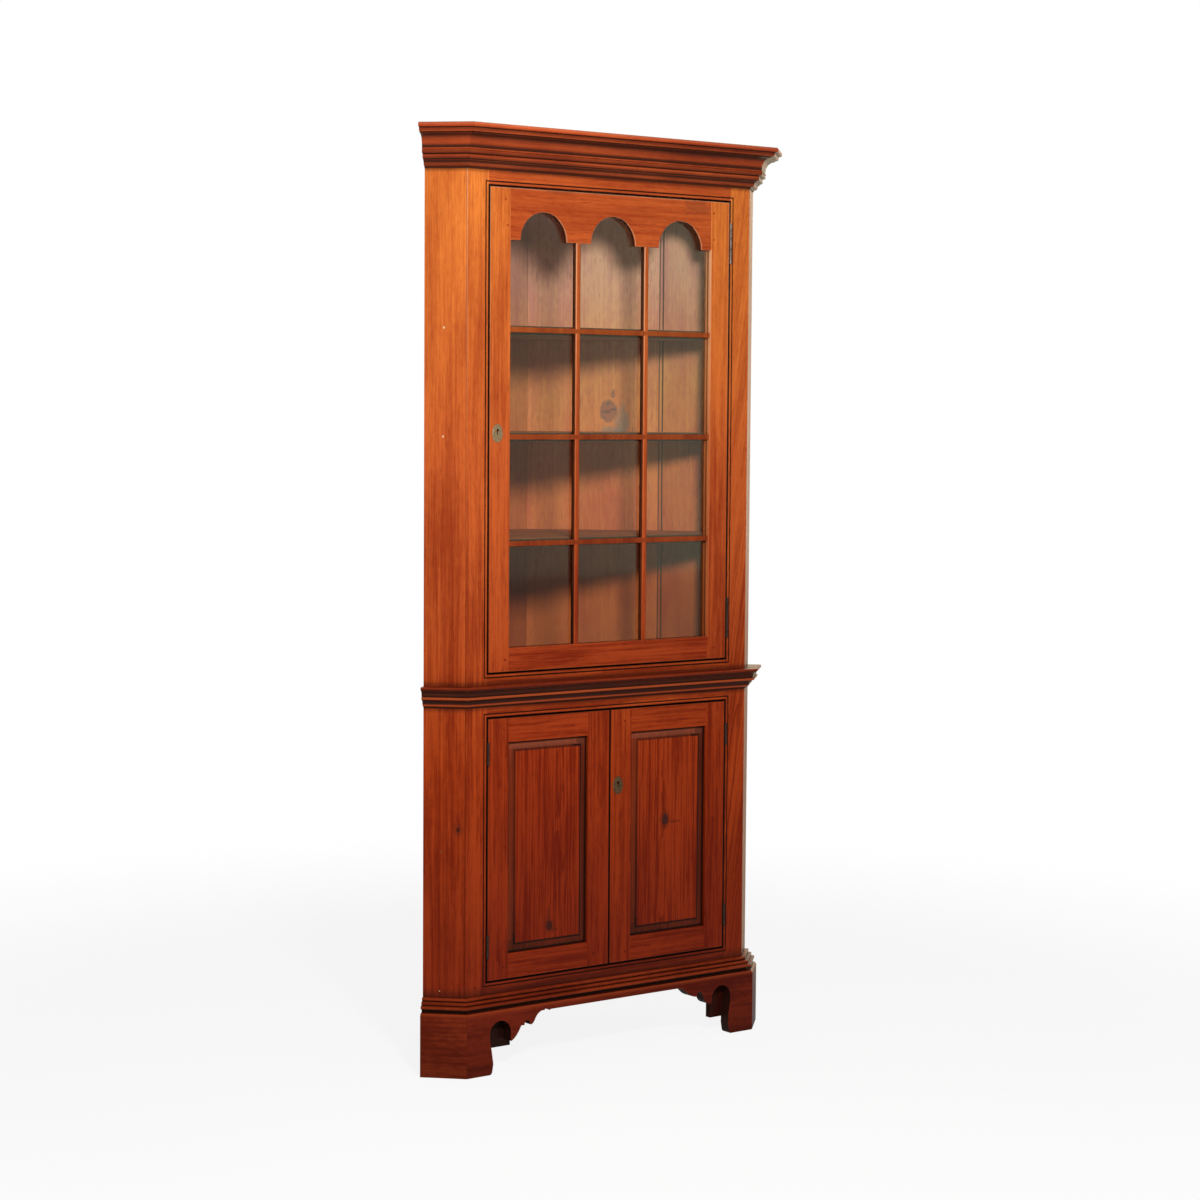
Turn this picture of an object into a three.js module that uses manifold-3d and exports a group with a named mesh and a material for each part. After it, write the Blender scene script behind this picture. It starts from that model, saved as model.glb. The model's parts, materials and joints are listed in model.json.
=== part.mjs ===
// A pine corner cupboard: a glazed door over a pair of panelled doors, on bracket feet.
// Millimetres, +Z up. The face looks towards -Y, and the two room walls meet behind it at +Y.

import * as THREE from "three";
import { mergeVertices } from "three/addons/utils/BufferGeometryUtils.js";
import Module from "manifold-3d";

const wasm = await Module();
wasm.setup();

// Heights of the face, from the floor up
const apronHeight = 146;
const baseMouldingHeight = 32;
const bottomRailReveal = 27.5;
const lowerOpeningHeight = 607;
const waistRailHeight = 98;
const upperOpeningHeight = 1096;
const topRailHeight = 107.5;
const topThickness = 20;

// Widths of the plan
const openingWidth = 698.4;
const frameStileWidth = 58.8;
const returnWidth = 96;
const cornerSetback = 79;

// Boards
const boardThickness = 22;
const backThickness = 12;
const cornerBoardThickness = 15;
const shelfThickness = 20;
const shelfSetback = 4;
const stopRise = 8;
const backBoardWidth = 207;
const cornerStripWidth = 119;
const backBoardsFloorClearance = 100;

// Clearances
const seatGap = 0.3;
const doorGap = 2.8;
const doorStopGap = 0.5;
const cutOverrun = 2;

// Beads worked on the frame's edges and on the back boards
const frameBeadWidth = 7;
const backBeadWidth = 9;
const quirkWidth = 1.4;
const quirkDepth = 2;

// Mouldings
const corniceHeight = 95;
const corniceProjection = 70;
const waistMouldingHeight = 49;
const waistMouldingProjection = 33;
const waistMouldingDrop = 24.5;
const baseMouldingProjection = 24;

// Bracket feet
const apronProjection = 29;
const bracketLength = 233;
const keyholeRadius = 29;
const apronEdgeRound = 5;
const frameFloorClearance = 50;
const footBlocks = {
  left: { width: 67.5, depth: 40, bottom: 54 },
  right: { width: 39, depth: 16, bottom: 38 },
};
const bottomRailLap = 13;

// Glazed door
const upperStileWidth = 56.4;
const upperBottomRailHeight = 55;
const archedRailHeight = 116.5;
const archRadius = 65;
const lightColumns = 3;
const lightRows = 4;
const lightHeight = 228.7;
const barWidth = 13;
const barNoseWidth = 5;
const barSetback = 1;
const barNoseDepth = 5;
const glassThickness = 3;
const glassLip = 12;
const glassGroove = 8;
const glassEdgePlay = 1;
const glassCover = 4;

// Panelled doors
const outerStileWidth = 57;
const meetingStileWidth = 61.6;
const lowerTopRailHeight = 57;
const lowerBottomRailHeight = 58;
const panelGroove = 8;
const panelEdgePlay = 1;
const panelEdgeThickness = 4.2;
const panelBevelWidth = 20;
const panelBevelDepth = 4.5;
const panelFieldStep = 1.8;
const panelFieldSetback = 3.2;

// Butt hinges
const knuckleRadius = 3.2;
const knuckleClearance = 0.2;
const pinRadius = 1.3;
const leafGap = 0.4;
const leafDepth = 18;
const upperHingeLength = 96;
const upperHingeInset = 50;
const lowerHingeLength = 52;
const lowerHingeInset = 54;

// Locks
const lockCaseWidth = 38;
const lockCaseHeight = 60;
const lockCaseDepth = 12;
const boltLength = 24;
const boltHeight = 14;
const boltThickness = 6;
const boltSetback = 0.5;
const boltTravel = 9;
const mortisePlay = 0.8;
const keyBackset = 22.5;
const keyHoleRadius = 3.2;
const keySlotWidth = 2.4;
const keySlotLength = 11;
const upperLockRise = 549.5;
const lowerLockRise = 430.5;
const escutcheonWidth = 29;
const escutcheonHeight = 42;
const escutcheonThickness = 1.6;
const keyHoleRise = 6.5;

// Moulding profiles, in shares of projection and height, from the bottom of the back over the face
// to the top of the back. Two numbers are a straight step to a point, four are a curve: its control
// point and its end.
const corniceShares = [
  [0.04, 0], [0.04, 0.035], [0.06, 0.04],
  [0.15, 0.045, 0.16, 0.105], [0.17, 0.165, 0.25, 0.175], [0.25, 0.195],
  [0.33, 0.205], [0.33, 0.3], [0.31, 0.31], [0.36, 0.32],
  [0.435, 0.32, 0.435, 0.365], [0.435, 0.41, 0.4, 0.41],
  [0.445, 0.42], [0.445, 0.45], [0.415, 0.455],
  [0.43, 0.745, 0.76, 0.76], [0.76, 0.775], [0.8, 0.785], [0.86, 0.79], [0.885, 0.87], [0.87, 0.88],
  [0.93, 0.885], [1, 0.89, 1, 0.94], [1, 1, 0.93, 1],
];
const waistShares = [
  [0.09, 0], [0.09, 0.05], [0.12, 0.06],
  [0.31, 0.07, 0.34, 0.19], [0.37, 0.33, 0.55, 0.36], [0.55, 0.395],
  [0.6, 0.41], [0.75, 0.41, 0.75, 0.47], [0.75, 0.53, 0.64, 0.53], [0.64, 0.555],
  [0.66, 0.8, 0.86, 0.82], [0.88, 0.82], [0.88, 0.855],
  [0.93, 0.86], [1, 0.86, 1, 0.93], [1, 1, 0.93, 1],
];
const baseRecessShares = [[0.55, 0], [0.55, 0.22]];
const baseReedShares = [[1, 0.25, 0.48], [0.7, 0.51, 0.74], [0.4, 0.77, 1]];
const reedRoundShare = 0.14;

// Each bracket's lower edge, in shares of the bracket's length and of the apron's height.
// The two brackets were sawn by hand and differ a little.
const bracketShares = {
  left: {
    toe: [[0.27, 0], [0.292, 0, 0.3, 0.05], [0.312, 0.17], [0.29, 0.4], [0.27, 0.56]],
    keyholeCentre: [0.3945, 0.634],
    spur: [
      [0.519, 0.53], [0.524, 0.482], [0.59, 0.53, 0.644, 0.705], [0.682, 0.703],
      [0.684, 0.775, 0.716, 0.777], [0.744, 0.775, 0.75, 0.7], [0.765, 0.695],
      [0.795, 0.715, 0.815, 0.79], [0.845, 0.875, 0.894, 0.892], [0.922, 0.889],
      [0.93, 0.908], [0.974, 0.904], [0.986, 0.878], [1, 0.892],
    ],
  },
  right: {
    toe: [[0.288, 0], [0.305, 0, 0.312, 0.05], [0.326, 0.17], [0.32, 0.36], [0.2975, 0.56]],
    keyholeCentre: [0.422, 0.634],
    spur: [
      [0.547, 0.6], [0.556, 0.555], [0.583, 0.553], [0.645, 0.575, 0.66, 0.673],
      [0.676, 0.775, 0.716, 0.782], [0.742, 0.775, 0.748, 0.711], [0.769, 0.708],
      [0.83, 0.73, 0.864, 0.774], [0.912, 0.85, 0.946, 0.879], [1, 0.892],
    ],
  },
};

// Places that follow from the sizes
const half = 0.5;
const diagonal = Math.SQRT1_2;
const mitreSlope = Math.tan(Math.PI / 8);
const openingHalf = openingWidth * half;
const faceHalf = openingHalf + frameStileWidth;
const lowerOpeningBottom = apronHeight + baseMouldingHeight + bottomRailReveal;
const lowerOpeningTop = lowerOpeningBottom + lowerOpeningHeight;
const upperOpeningBottom = lowerOpeningTop + waistRailHeight;
const upperOpeningTop = upperOpeningBottom + upperOpeningHeight;
const carcassTop = upperOpeningTop + topRailHeight;
const cabinetHeight = carcassTop + topThickness;
const wallsMeetY = faceHalf + 2 * returnWidth * diagonal;
const backY = wallsMeetY - cornerSetback;
const doorThickness = boardThickness - doorStopGap;
const doorHalf = openingHalf - doorGap;
const hingeX = openingHalf - doorGap * half;
const hingeY = -(knuckleRadius + knuckleClearance);
const arcSteps = 4;
const archSteps = 12;
const roundSides = 14;

// Materials
function finish(color, roughness, metalness = 0) {
  return new THREE.MeshStandardMaterial({ color, roughness, metalness });
}
const framePine = () => finish(0xb4511d, 0.35);
const mouldingPine = () => finish(0x8f3d19, 0.35);
const panelPine = () => finish(0x9a3d1a, 0.4);
const backPine = () => finish(0x9c6a48, 0.6);
const agedBrass = () => finish(0x9a8150, 0.4, 1);
const paleSteel = () => finish(0xb5a8a2, 0.35, 1);
const darkIron = () => finish(0x3a2a22, 0.5, 1);
const clearGlass = () => new THREE.MeshStandardMaterial({
  color: 0xdfe6e4, roughness: 0.05, metalness: 0, transparent: true, opacity: 0.3,
});

// Geometry helpers

// Moves every vertex of a geometry: place(first, second, ring) gives its x, y and z.
function remap(geometry, place) {
  const position = geometry.getAttribute("position");
  for (let i = 0; i < position.count; i += 1) {
    const ring = Math.round(position.getZ(i));
    const [x, y, z] = place(position.getX(i), position.getY(i), ring);
    position.setXYZ(i, x, y, z);
  }
  geometry.deleteAttribute("normal");
  geometry.deleteAttribute("uv");
  geometry.computeVertexNormals();
  return geometry;
}

// An outline extruded in whole rings, which remap then sets to their real places.
function rings(outline, count) {
  const shape = outline instanceof THREE.Shape ? outline : new THREE.Shape(outline);
  const settings = { depth: count, steps: count, bevelEnabled: false, curveSegments: arcSteps };
  return new THREE.ExtrudeGeometry(shape, settings);
}

function points(...pairs) {
  return pairs.map(([x, y]) => new THREE.Vector2(x, y));
}

// A straight prism of an outline in the two other axes, between two planes of one axis.
const prismPlaces = {
  x: (low, high) => (y, z, ring) => [ring === 0 ? low : high, y, z],
  y: (low, high) => (x, z, ring) => [x, ring === 0 ? high : low, z],
  z: (low, high) => (x, y, ring) => [x, y, ring === 0 ? low : high],
};
function prism(outline, axis, low, high) {
  return remap(rings(outline, 1), prismPlaces[axis](low, high));
}

function box([x0, x1], [y0, y1], [z0, z1]) {
  return prism(points([x0, y0], [x1, y0], [x1, y1], [x0, y1]), "z", z0, z1);
}

// Points along an ellipse, counter-clockwise unless the end angle lies before the start.
function ellipsePoints(x, y, radiusX, radiusY, start, end, steps) {
  return new THREE.EllipseCurve(x, y, radiusX, radiusY, start, end, end < start).getPoints(steps);
}

function closedEllipse(x, y, radiusX, radiusY, steps) {
  return ellipsePoints(x, y, radiusX, radiusY, 0, 2 * Math.PI, steps).slice(0, steps);
}

function cylinderAlongZ(x, y, radius, z0, z1) {
  return prism(closedEllipse(x, y, radius, radius, roundSides), "z", z0, z1);
}

function solid(geometry) {
  const bare = mergeVertices(geometry.clone().deleteAttribute("normal"));
  const vertProperties = new Float32Array(bare.getAttribute("position").array);
  const triVerts = new Uint32Array(bare.getIndex().array);
  return new wasm.Manifold(new wasm.Mesh({ numProp: 3, vertProperties, triVerts }));
}

function geometryOf(manifold) {
  const mesh = manifold.getMesh();
  const geometry = new THREE.BufferGeometry();
  geometry.setAttribute("position", new THREE.BufferAttribute(new Float32Array(mesh.vertProperties), 3));
  geometry.setIndex(new THREE.BufferAttribute(new Uint32Array(mesh.triVerts), 1));
  geometry.computeVertexNormals();
  return geometry;
}

function cut(body, ...tools) {
  return geometryOf(tools.reduce((rest, tool) => rest.subtract(solid(tool)), solid(body)));
}

function join(body, ...others) {
  return geometryOf(others.reduce((whole, other) => whole.add(solid(other)), solid(body)));
}

// Draws a path given in shares, sized by a width and a height.
function traceShares(path, shares, width, height) {
  for (const [a, b, c, d] of shares) {
    if (c === undefined) {
      path.lineTo(a * width, b * height);
    } else {
      path.quadraticCurveTo(a * width, b * height, c * width, d * height);
    }
  }
  return path;
}

// The cupboard as a tree of groups
const cupboard = new THREE.Group();
const carcass = new THREE.Group();
const mouldings = new THREE.Group();
const feet = new THREE.Group();
const upperDoor = new THREE.Group();
const leftDoor = new THREE.Group();
const rightDoor = new THREE.Group();
cupboard.add(carcass, mouldings, feet, upperDoor, leftDoor, rightDoor);

function addPiece(group, name, geometry, material) {
  const mesh = new THREE.Mesh(geometry, material);
  mesh.name = name;
  group.add(mesh);
  return mesh;
}

const sides = [{ name: "left", sign: -1 }, { name: "right", sign: 1 }];

// Mirrors an outline or a range of x for the left side, keeping it in order.
function mirrored(outline, sign) {
  return sign > 0 ? outline : outline.map((p) => new THREE.Vector2(-p.x, p.y)).reverse();
}
function spanX(sign, a, b) {
  return sign > 0 ? [a, b] : [-b, -a];
}

// Plan of the right half: each face as a line with its outward normal, set in by a depth
const planLines = {
  face: (depth) => ({ nx: 0, ny: -1, d: -depth }),
  side: (depth) => ({ nx: diagonal, ny: -diagonal, d: faceHalf * diagonal - depth }),
  wall: (depth) => ({ nx: diagonal, ny: diagonal, d: wallsMeetY * diagonal - depth }),
  back: (depth) => ({ nx: 0, ny: 1, d: backY - depth }),
};

function meet(first, second) {
  const det = first.nx * second.ny - second.nx * first.ny;
  const x = (first.d * second.ny - second.d * first.ny) / det;
  const y = (first.nx * second.d - second.nx * first.d) / det;
  return new THREE.Vector2(x, y);
}

// The outline of a level board, set in from the face, the returns, the walls and the back.
function planOutline(faceDepth, sideDepth, wallDepth, backDepth) {
  const face = planLines.face(faceDepth);
  const side = planLines.side(sideDepth);
  const wall = planLines.wall(wallDepth);
  const back = planLines.back(backDepth);
  const right = [meet(face, side), meet(side, wall), meet(wall, back)];
  return [...right, ...mirrored(right, -1)];
}

// Carcass: face frame, returns, back boards and level boards

// A square ring cut into the face round an opening, which leaves a bead along its edge.
function quirkRing(openingBottom, openingTop) {
  const inner = frameBeadWidth;
  const outer = frameBeadWidth + quirkWidth;
  const rectangle = (grow) => points(
    [-openingHalf - grow, openingBottom - grow], [openingHalf + grow, openingBottom - grow],
    [openingHalf + grow, openingTop + grow], [-openingHalf - grow, openingTop + grow],
  );
  const ring = new THREE.Shape(rectangle(outer));
  ring.holes.push(new THREE.Path(rectangle(inner)));
  return prism(ring, "y", -cutOverrun, quirkDepth);
}
const quirks = () => [
  quirkRing(lowerOpeningBottom, lowerOpeningTop),
  quirkRing(upperOpeningBottom, upperOpeningTop),
];

const upperLockZ = upperOpeningBottom + upperLockRise;
const lowerLockZ = lowerOpeningBottom + lowerLockRise;
const boltY = doorThickness - lockCaseDepth * half;

// The pocket that a bolt runs into, from an edge at x towards -X.
function boltPocket(edgeX, lockZ) {
  const depth = boltTravel - boltSetback + mortisePlay;
  const halfThickness = boltThickness * half + mortisePlay;
  const halfHeight = boltHeight * half + mortisePlay;
  return box([edgeX - depth, edgeX + cutOverrun], [boltY - halfThickness, boltY + halfThickness],
    [lockZ - halfHeight, lockZ + halfHeight]);
}

function buildFaceFrame() {
  for (const { name, sign } of sides) {
    const inner = new THREE.Vector2(faceHalf - boardThickness * mitreSlope - seatGap, boardThickness);
    const outline = [
      new THREE.Vector2(openingHalf, 0), new THREE.Vector2(faceHalf - seatGap, 0),
      inner, new THREE.Vector2(openingHalf, boardThickness),
    ];
    const blank = prism(mirrored(outline, sign), "z", frameFloorClearance, carcassTop);
    const tools = quirks();
    if (sign < 0) {
      tools.push(boltPocket(-openingHalf, upperLockZ));
    }
    addPiece(carcass, `${name}_frame_stile`, cut(blank, ...tools), framePine());
  }
  const rails = {
    bottom_frame_rail: [apronHeight - bottomRailLap, lowerOpeningBottom],
    waist_frame_rail: [lowerOpeningTop, upperOpeningBottom],
    top_frame_rail: [upperOpeningTop, carcassTop],
  };
  for (const [name, heights] of Object.entries(rails)) {
    const blank = box([-openingHalf, openingHalf], [0, boardThickness], heights);
    addPiece(carcass, name, cut(blank, ...quirks()), framePine());
  }
}

function buildReturns() {
  const outer = planLines.side(0);
  const inner = planLines.side(boardThickness);
  const end = planLines.wall(0);
  const outline = [
    meet(planLines.face(0), outer), meet(outer, end), meet(end, inner),
    meet(planLines.face(boardThickness), inner),
  ];
  for (const { name, sign } of sides) {
    const geometry = prism(mirrored(outline, sign), "z", frameFloorClearance, carcassTop);
    addPiece(carcass, `${name}_return_board`, geometry, framePine());
  }
}

// The inner edge of the back boards from the back corner to the return, with a bead at each seam.
function beadedEdge(start, end) {
  const along = end.clone().sub(start);
  const length = along.length();
  along.normalize();
  const into = new THREE.Vector2(-along.y, along.x);
  const edge = [start];
  for (let seam = cornerStripWidth; seam + backBeadWidth + quirkWidth < length; seam += backBoardWidth) {
    for (const at of [seam, seam + backBeadWidth]) {
      const near = start.clone().addScaledVector(along, at);
      const far = near.clone().addScaledVector(along, quirkWidth);
      edge.push(near, near.clone().addScaledVector(into, quirkDepth));
      edge.push(far.clone().addScaledVector(into, quirkDepth), far);
    }
  }
  edge.push(end);
  return edge;
}

function buildBack() {
  const outer = planLines.wall(0);
  const inner = planLines.wall(backThickness);
  const cornerEnd = planLines.back(cornerBoardThickness + seatGap);
  const sideEnd = planLines.side(boardThickness + seatGap);
  const innerEdge = beadedEdge(meet(inner, cornerEnd), meet(inner, sideEnd));
  const outline = [meet(outer, sideEnd), meet(outer, cornerEnd), ...innerEdge];
  for (const { name, sign } of sides) {
    const geometry = prism(mirrored(outline, sign), "z", backBoardsFloorClearance, carcassTop);
    addPiece(carcass, `${name}_back_boards`, geometry, backPine());
  }
  const behind = meet(outer, planLines.back(0));
  const inFront = meet(outer, planLines.back(cornerBoardThickness));
  const cornerOutline = [inFront, behind, ...mirrored([inFront, behind], -1)];
  addPiece(carcass, "back_corner_board", prism(cornerOutline, "z", 0, carcassTop), backPine());
}

const barPitch = lightHeight + barWidth;
const glazingBottom = upperOpeningBottom + doorGap + upperBottomRailHeight;
const levelBarZ = (row) => glazingBottom + row * barPitch - barWidth * half;

function buildLevelBoards() {
  const sideDepth = boardThickness + seatGap;
  const wallDepth = backThickness + seatGap;
  const backDepth = cornerBoardThickness + seatGap;
  const fixedOutline = planOutline(boardThickness, sideDepth, wallDepth, backDepth);
  const fixedTops = {
    bottom_board: lowerOpeningBottom + stopRise,
    waist_board: upperOpeningBottom + stopRise,
  };
  for (const [name, top] of Object.entries(fixedTops)) {
    addPiece(carcass, name, prism(fixedOutline, "z", top - shelfThickness, top), backPine());
  }
  const shelfOutline = planOutline(boardThickness + shelfSetback, sideDepth, wallDepth, backDepth);
  for (let row = 1; row < lightRows; row += 1) {
    const middle = levelBarZ(row);
    const thick = shelfThickness * half;
    const geometry = prism(shelfOutline, "z", middle - thick, middle + thick);
    addPiece(carcass, `upper_shelf_${row}`, geometry, backPine());
  }
  const topBoard = prism(planOutline(0, 0, 0, 0), "z", carcassTop, cabinetHeight);
  addPiece(carcass, "top_board", topBoard, framePine());
}

// Mouldings follow the face and the two returns

// Stations of a run, from right to left: a corner of the plan and the way its projection points.
function stations(mitreInset) {
  const corner = meet(planLines.face(0), planLines.side(0));
  const wallEnd = meet(planLines.side(0), planLines.wall(0));
  const step = mitreInset * diagonal;
  const build = (sign) => ({
    wallEnd: { x: sign * wallEnd.x, y: wallEnd.y, px: sign * diagonal, py: -diagonal },
    corner: { x: sign * (corner.x + step), y: corner.y + step, px: sign * mitreSlope, py: -1 },
  });
  return { right: build(1), left: build(-1) };
}

// A profile of (projection, height) swept through stations, with a true mitre at each corner.
function sweep(profile, bottom, stops) {
  return remap(rings(profile, stops.length - 1), (projection, height, ring) => {
    const stop = stops[ring];
    return [stop.x + projection * stop.px, stop.y + projection * stop.py, bottom + height];
  });
}

function profileShape(shares, projection, height) {
  const shape = new THREE.Shape();
  shape.moveTo(seatGap, 0);
  traceShares(shape, shares, projection, height);
  shape.lineTo(seatGap, height);
  return shape;
}

function baseShares() {
  const shares = [...baseRecessShares];
  for (const [reach, low, high] of baseReedShares) {
    const middle = (low + high) * half;
    const root = reach - reedRoundShare;
    shares.push([root, low], [reach, low, reach, middle], [reach, high, root, high]);
  }
  return shares;
}

function buildMouldings() {
  const shared = stations(0);
  const inset = stations(seatGap);
  const wholeRun = [shared.right.wallEnd, shared.right.corner, shared.left.corner, shared.left.wallEnd];

  const cornice = profileShape(corniceShares, corniceProjection, corniceHeight);
  const corniceBottom = cabinetHeight - corniceHeight;
  const corniceRuns = {
    cornice_front: [shared.right.corner, shared.left.corner],
    cornice_left_return: [inset.left.corner, inset.left.wallEnd],
    cornice_right_return: [inset.right.wallEnd, inset.right.corner],
  };
  for (const [name, stops] of Object.entries(corniceRuns)) {
    addPiece(mouldings, name, sweep(cornice, corniceBottom, stops), mouldingPine());
  }

  const waist = profileShape(waistShares, waistMouldingProjection, waistMouldingHeight);
  const waistBottom = upperOpeningBottom - waistMouldingDrop - waistMouldingHeight;
  addPiece(mouldings, "waist_moulding", sweep(waist, waistBottom, wholeRun), mouldingPine());

  const base = profileShape(baseShares(), baseMouldingProjection, baseMouldingHeight);
  addPiece(mouldings, "base_moulding", sweep(base, apronHeight, wholeRun), mouldingPine());
}

// Bracket feet

const apronHalf = faceHalf + apronProjection * mitreSlope;

// A bracket's lower edge on the left, drawn from the foot's outer corner towards the middle.
function bracketEdge({ toe, keyholeCentre, spur: spurShares }) {
  const path = new THREE.Path();
  path.moveTo(0, 0);
  traceShares(path, toe, bracketLength, apronHeight);
  const centreX = keyholeCentre[0] * bracketLength;
  const centreZ = keyholeCentre[1] * apronHeight;
  const arch = ellipsePoints(centreX, centreZ, keyholeRadius, keyholeRadius, Math.PI, 0, archSteps);
  const spur = new THREE.Path();
  spur.moveTo(arch[archSteps].x, arch[archSteps].y);
  traceShares(spur, spurShares, bracketLength, apronHeight);
  return [...path.getPoints(arcSteps), ...arch, ...spur.getPoints(arcSteps).slice(1)]
    .map((p) => new THREE.Vector2(p.x - apronHalf, p.y));
}

function buildApron() {
  const left = bracketEdge(bracketShares.left);
  const right = mirrored(bracketEdge(bracketShares.right), -1);
  const top = points([apronHalf, apronHeight], [-apronHalf, apronHeight]);
  const outline = [...left, ...right, ...top];
  const depths = [0, apronProjection - apronEdgeRound, apronProjection];
  const lowered = [0, 0, apronEdgeRound];
  const apron = remap(rings(outline, depths.length - 1), (x, z, ring) => {
    const mitred = faceHalf + depths[ring] * mitreSlope;
    const atEnd = Math.abs(x) > apronHalf - seatGap;
    const atTop = z > apronHeight - seatGap;
    return [atEnd ? Math.sign(x) * mitred : x, -depths[ring], atTop ? z - lowered[ring] : z];
  });
  addPiece(feet, "front_apron", apron, mouldingPine());
}

function buildFootReturns() {
  const inset = stations(seatGap);
  const rounded = new THREE.Shape(points([seatGap, 0], [apronProjection, 0],
    [apronProjection, apronHeight - apronEdgeRound], [apronProjection - apronEdgeRound, apronHeight],
    [seatGap, apronHeight]));
  const runs = {
    left_foot_return: [inset.left.corner, inset.left.wallEnd],
    right_foot_return: [inset.right.wallEnd, inset.right.corner],
  };
  for (const [name, stops] of Object.entries(runs)) {
    addPiece(feet, name, sweep(rounded, 0, stops), mouldingPine());
  }
}

function buildFootBlocks() {
  for (const { name, sign } of sides) {
    const { width, depth, bottom } = footBlocks[name];
    const geometry = box(spanX(sign, openingHalf - width, openingHalf), [0, depth],
      [bottom, apronHeight - bottomRailLap]);
    addPiece(feet, `${name}_foot_block`, geometry, panelPine());
  }
}

// Hinges: the frame leaf carries the pin and the outer knuckles, the door leaf the middle one

const leafThickness = (doorGap - leafGap) * half;
const knuckleCount = 3;

function hingeLeaf(sign, bottom, length, isFrameLeaf) {
  const axisX = sign * hingeX;
  const outward = isFrameLeaf ? sign : -sign;
  const plateX = [axisX + outward * leafGap * half, axisX + outward * doorGap * half].sort((a, b) => a - b);
  const pitch = length / knuckleCount;
  let leaf = box(plateX, [knuckleClearance, leafDepth], [bottom, bottom + length]);
  for (let k = isFrameLeaf ? 0 : 1; k < knuckleCount; k += 2) {
    const play = seatGap * half;
    const low = bottom + k * pitch + (k > 0 ? play : 0);
    const high = bottom + (k + 1) * pitch - (k < knuckleCount - 1 ? play : 0);
    leaf = join(leaf, cylinderAlongZ(axisX, hingeY, knuckleRadius, low, high),
      box(plateX, [hingeY, knuckleClearance + leafThickness], [low, high]));
  }
  if (isFrameLeaf) {
    return join(leaf, cylinderAlongZ(axisX, hingeY, pinRadius, bottom, bottom + length));
  }
  const bore = cylinderAlongZ(axisX, hingeY, pinRadius + seatGap, bottom - cutOverrun,
    bottom + length + cutOverrun);
  return cut(leaf, bore);
}

function buildHinges(doorName, group, sign, doorBottom, doorTop, length, inset, material) {
  const bottoms = { bottom: doorBottom + inset, top: doorTop - inset - length };
  for (const [place, bottom] of Object.entries(bottoms)) {
    const prefix = `${doorName}_${place}_hinge`;
    addPiece(carcass, `${prefix}_frame_leaf`, hingeLeaf(sign, bottom, length, true), material());
    addPiece(group, `${prefix}_door_leaf`, hingeLeaf(sign, bottom, length, false), material());
  }
}

// Locks: a case let into the back of the stile, a sliding bolt and a plate over the keyhole

function keyholeShape(x, z) {
  const slotHalf = keySlotWidth * half;
  const meetAngle = Math.asin(slotHalf / keyHoleRadius);
  const start = -Math.PI * half + meetAngle;
  const end = start + 2 * (Math.PI - meetAngle);
  const arc = ellipsePoints(x, z, keyHoleRadius, keyHoleRadius, start, end, roundSides);
  return [...arc, new THREE.Vector2(x - slotHalf, z - keySlotLength),
    new THREE.Vector2(x + slotHalf, z - keySlotLength)];
}

function keyholeCut(edgeX, lockZ, fromY, toY) {
  return prism(keyholeShape(edgeX + keyBackset, lockZ), "y", fromY, toY);
}

function lockRecess(edgeX, lockZ) {
  const halfHeight = lockCaseHeight * half + seatGap;
  return box([edgeX - cutOverrun, edgeX + lockCaseWidth + seatGap],
    [doorThickness - lockCaseDepth - seatGap, doorThickness + cutOverrun],
    [lockZ - halfHeight, lockZ + halfHeight]);
}

function buildLock(prefix, group, edgeX, lockZ) {
  const caseFront = doorThickness - lockCaseDepth;
  const block = box([edgeX, edgeX + lockCaseWidth], [caseFront, doorThickness],
    [lockZ - lockCaseHeight * half, lockZ + lockCaseHeight * half]);
  const halfThickness = boltThickness * half;
  const halfHeight = boltHeight * half;
  const boltEnd = edgeX + boltSetback + boltLength;
  const channel = box([edgeX - cutOverrun, boltEnd + seatGap],
    [boltY - halfThickness - seatGap, boltY + halfThickness + seatGap],
    [lockZ - halfHeight - seatGap, lockZ + halfHeight + seatGap]);
  const keyway = keyholeCut(edgeX, lockZ, caseFront - cutOverrun, boltY - halfThickness);
  addPiece(group, `${prefix}_lock_case`, cut(block, channel, keyway), darkIron());
  const bolt = box([edgeX + boltSetback, boltEnd], [boltY - halfThickness, boltY + halfThickness],
    [lockZ - halfHeight, lockZ + halfHeight]);
  addPiece(group, `${prefix}_lock_bolt`, bolt, agedBrass());
  const plateShape = new THREE.Shape(closedEllipse(edgeX + keyBackset, lockZ - keyHoleRise,
    escutcheonWidth * half, escutcheonHeight * half, 2 * archSteps));
  plateShape.holes.push(new THREE.Path(keyholeShape(edgeX + keyBackset, lockZ)));
  const geometry = prism(plateShape, "y", -escutcheonThickness, 0);
  addPiece(group, `${prefix}_escutcheon`, geometry, agedBrass());
}

// A frame member's section across its width, with a groove on one edge
function groovedSection(outerEdge, innerEdge, grooveFront, grooveBack, grooveDepth) {
  const bed = innerEdge - Math.sign(innerEdge - outerEdge) * grooveDepth;
  const outline = [[outerEdge, 0], [innerEdge, 0], [innerEdge, grooveFront], [bed, grooveFront],
    [bed, grooveBack], [innerEdge, grooveBack], [innerEdge, doorThickness], [outerEdge, doorThickness]];
  return points(...(innerEdge > outerEdge ? outline : outline.reverse()));
}

// Swaps an outline of (z, y) to (y, z) and keeps its turning sense.
function acrossRail(outline) {
  return outline.map((p) => new THREE.Vector2(p.y, p.x)).reverse();
}

// Glazed door

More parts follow.
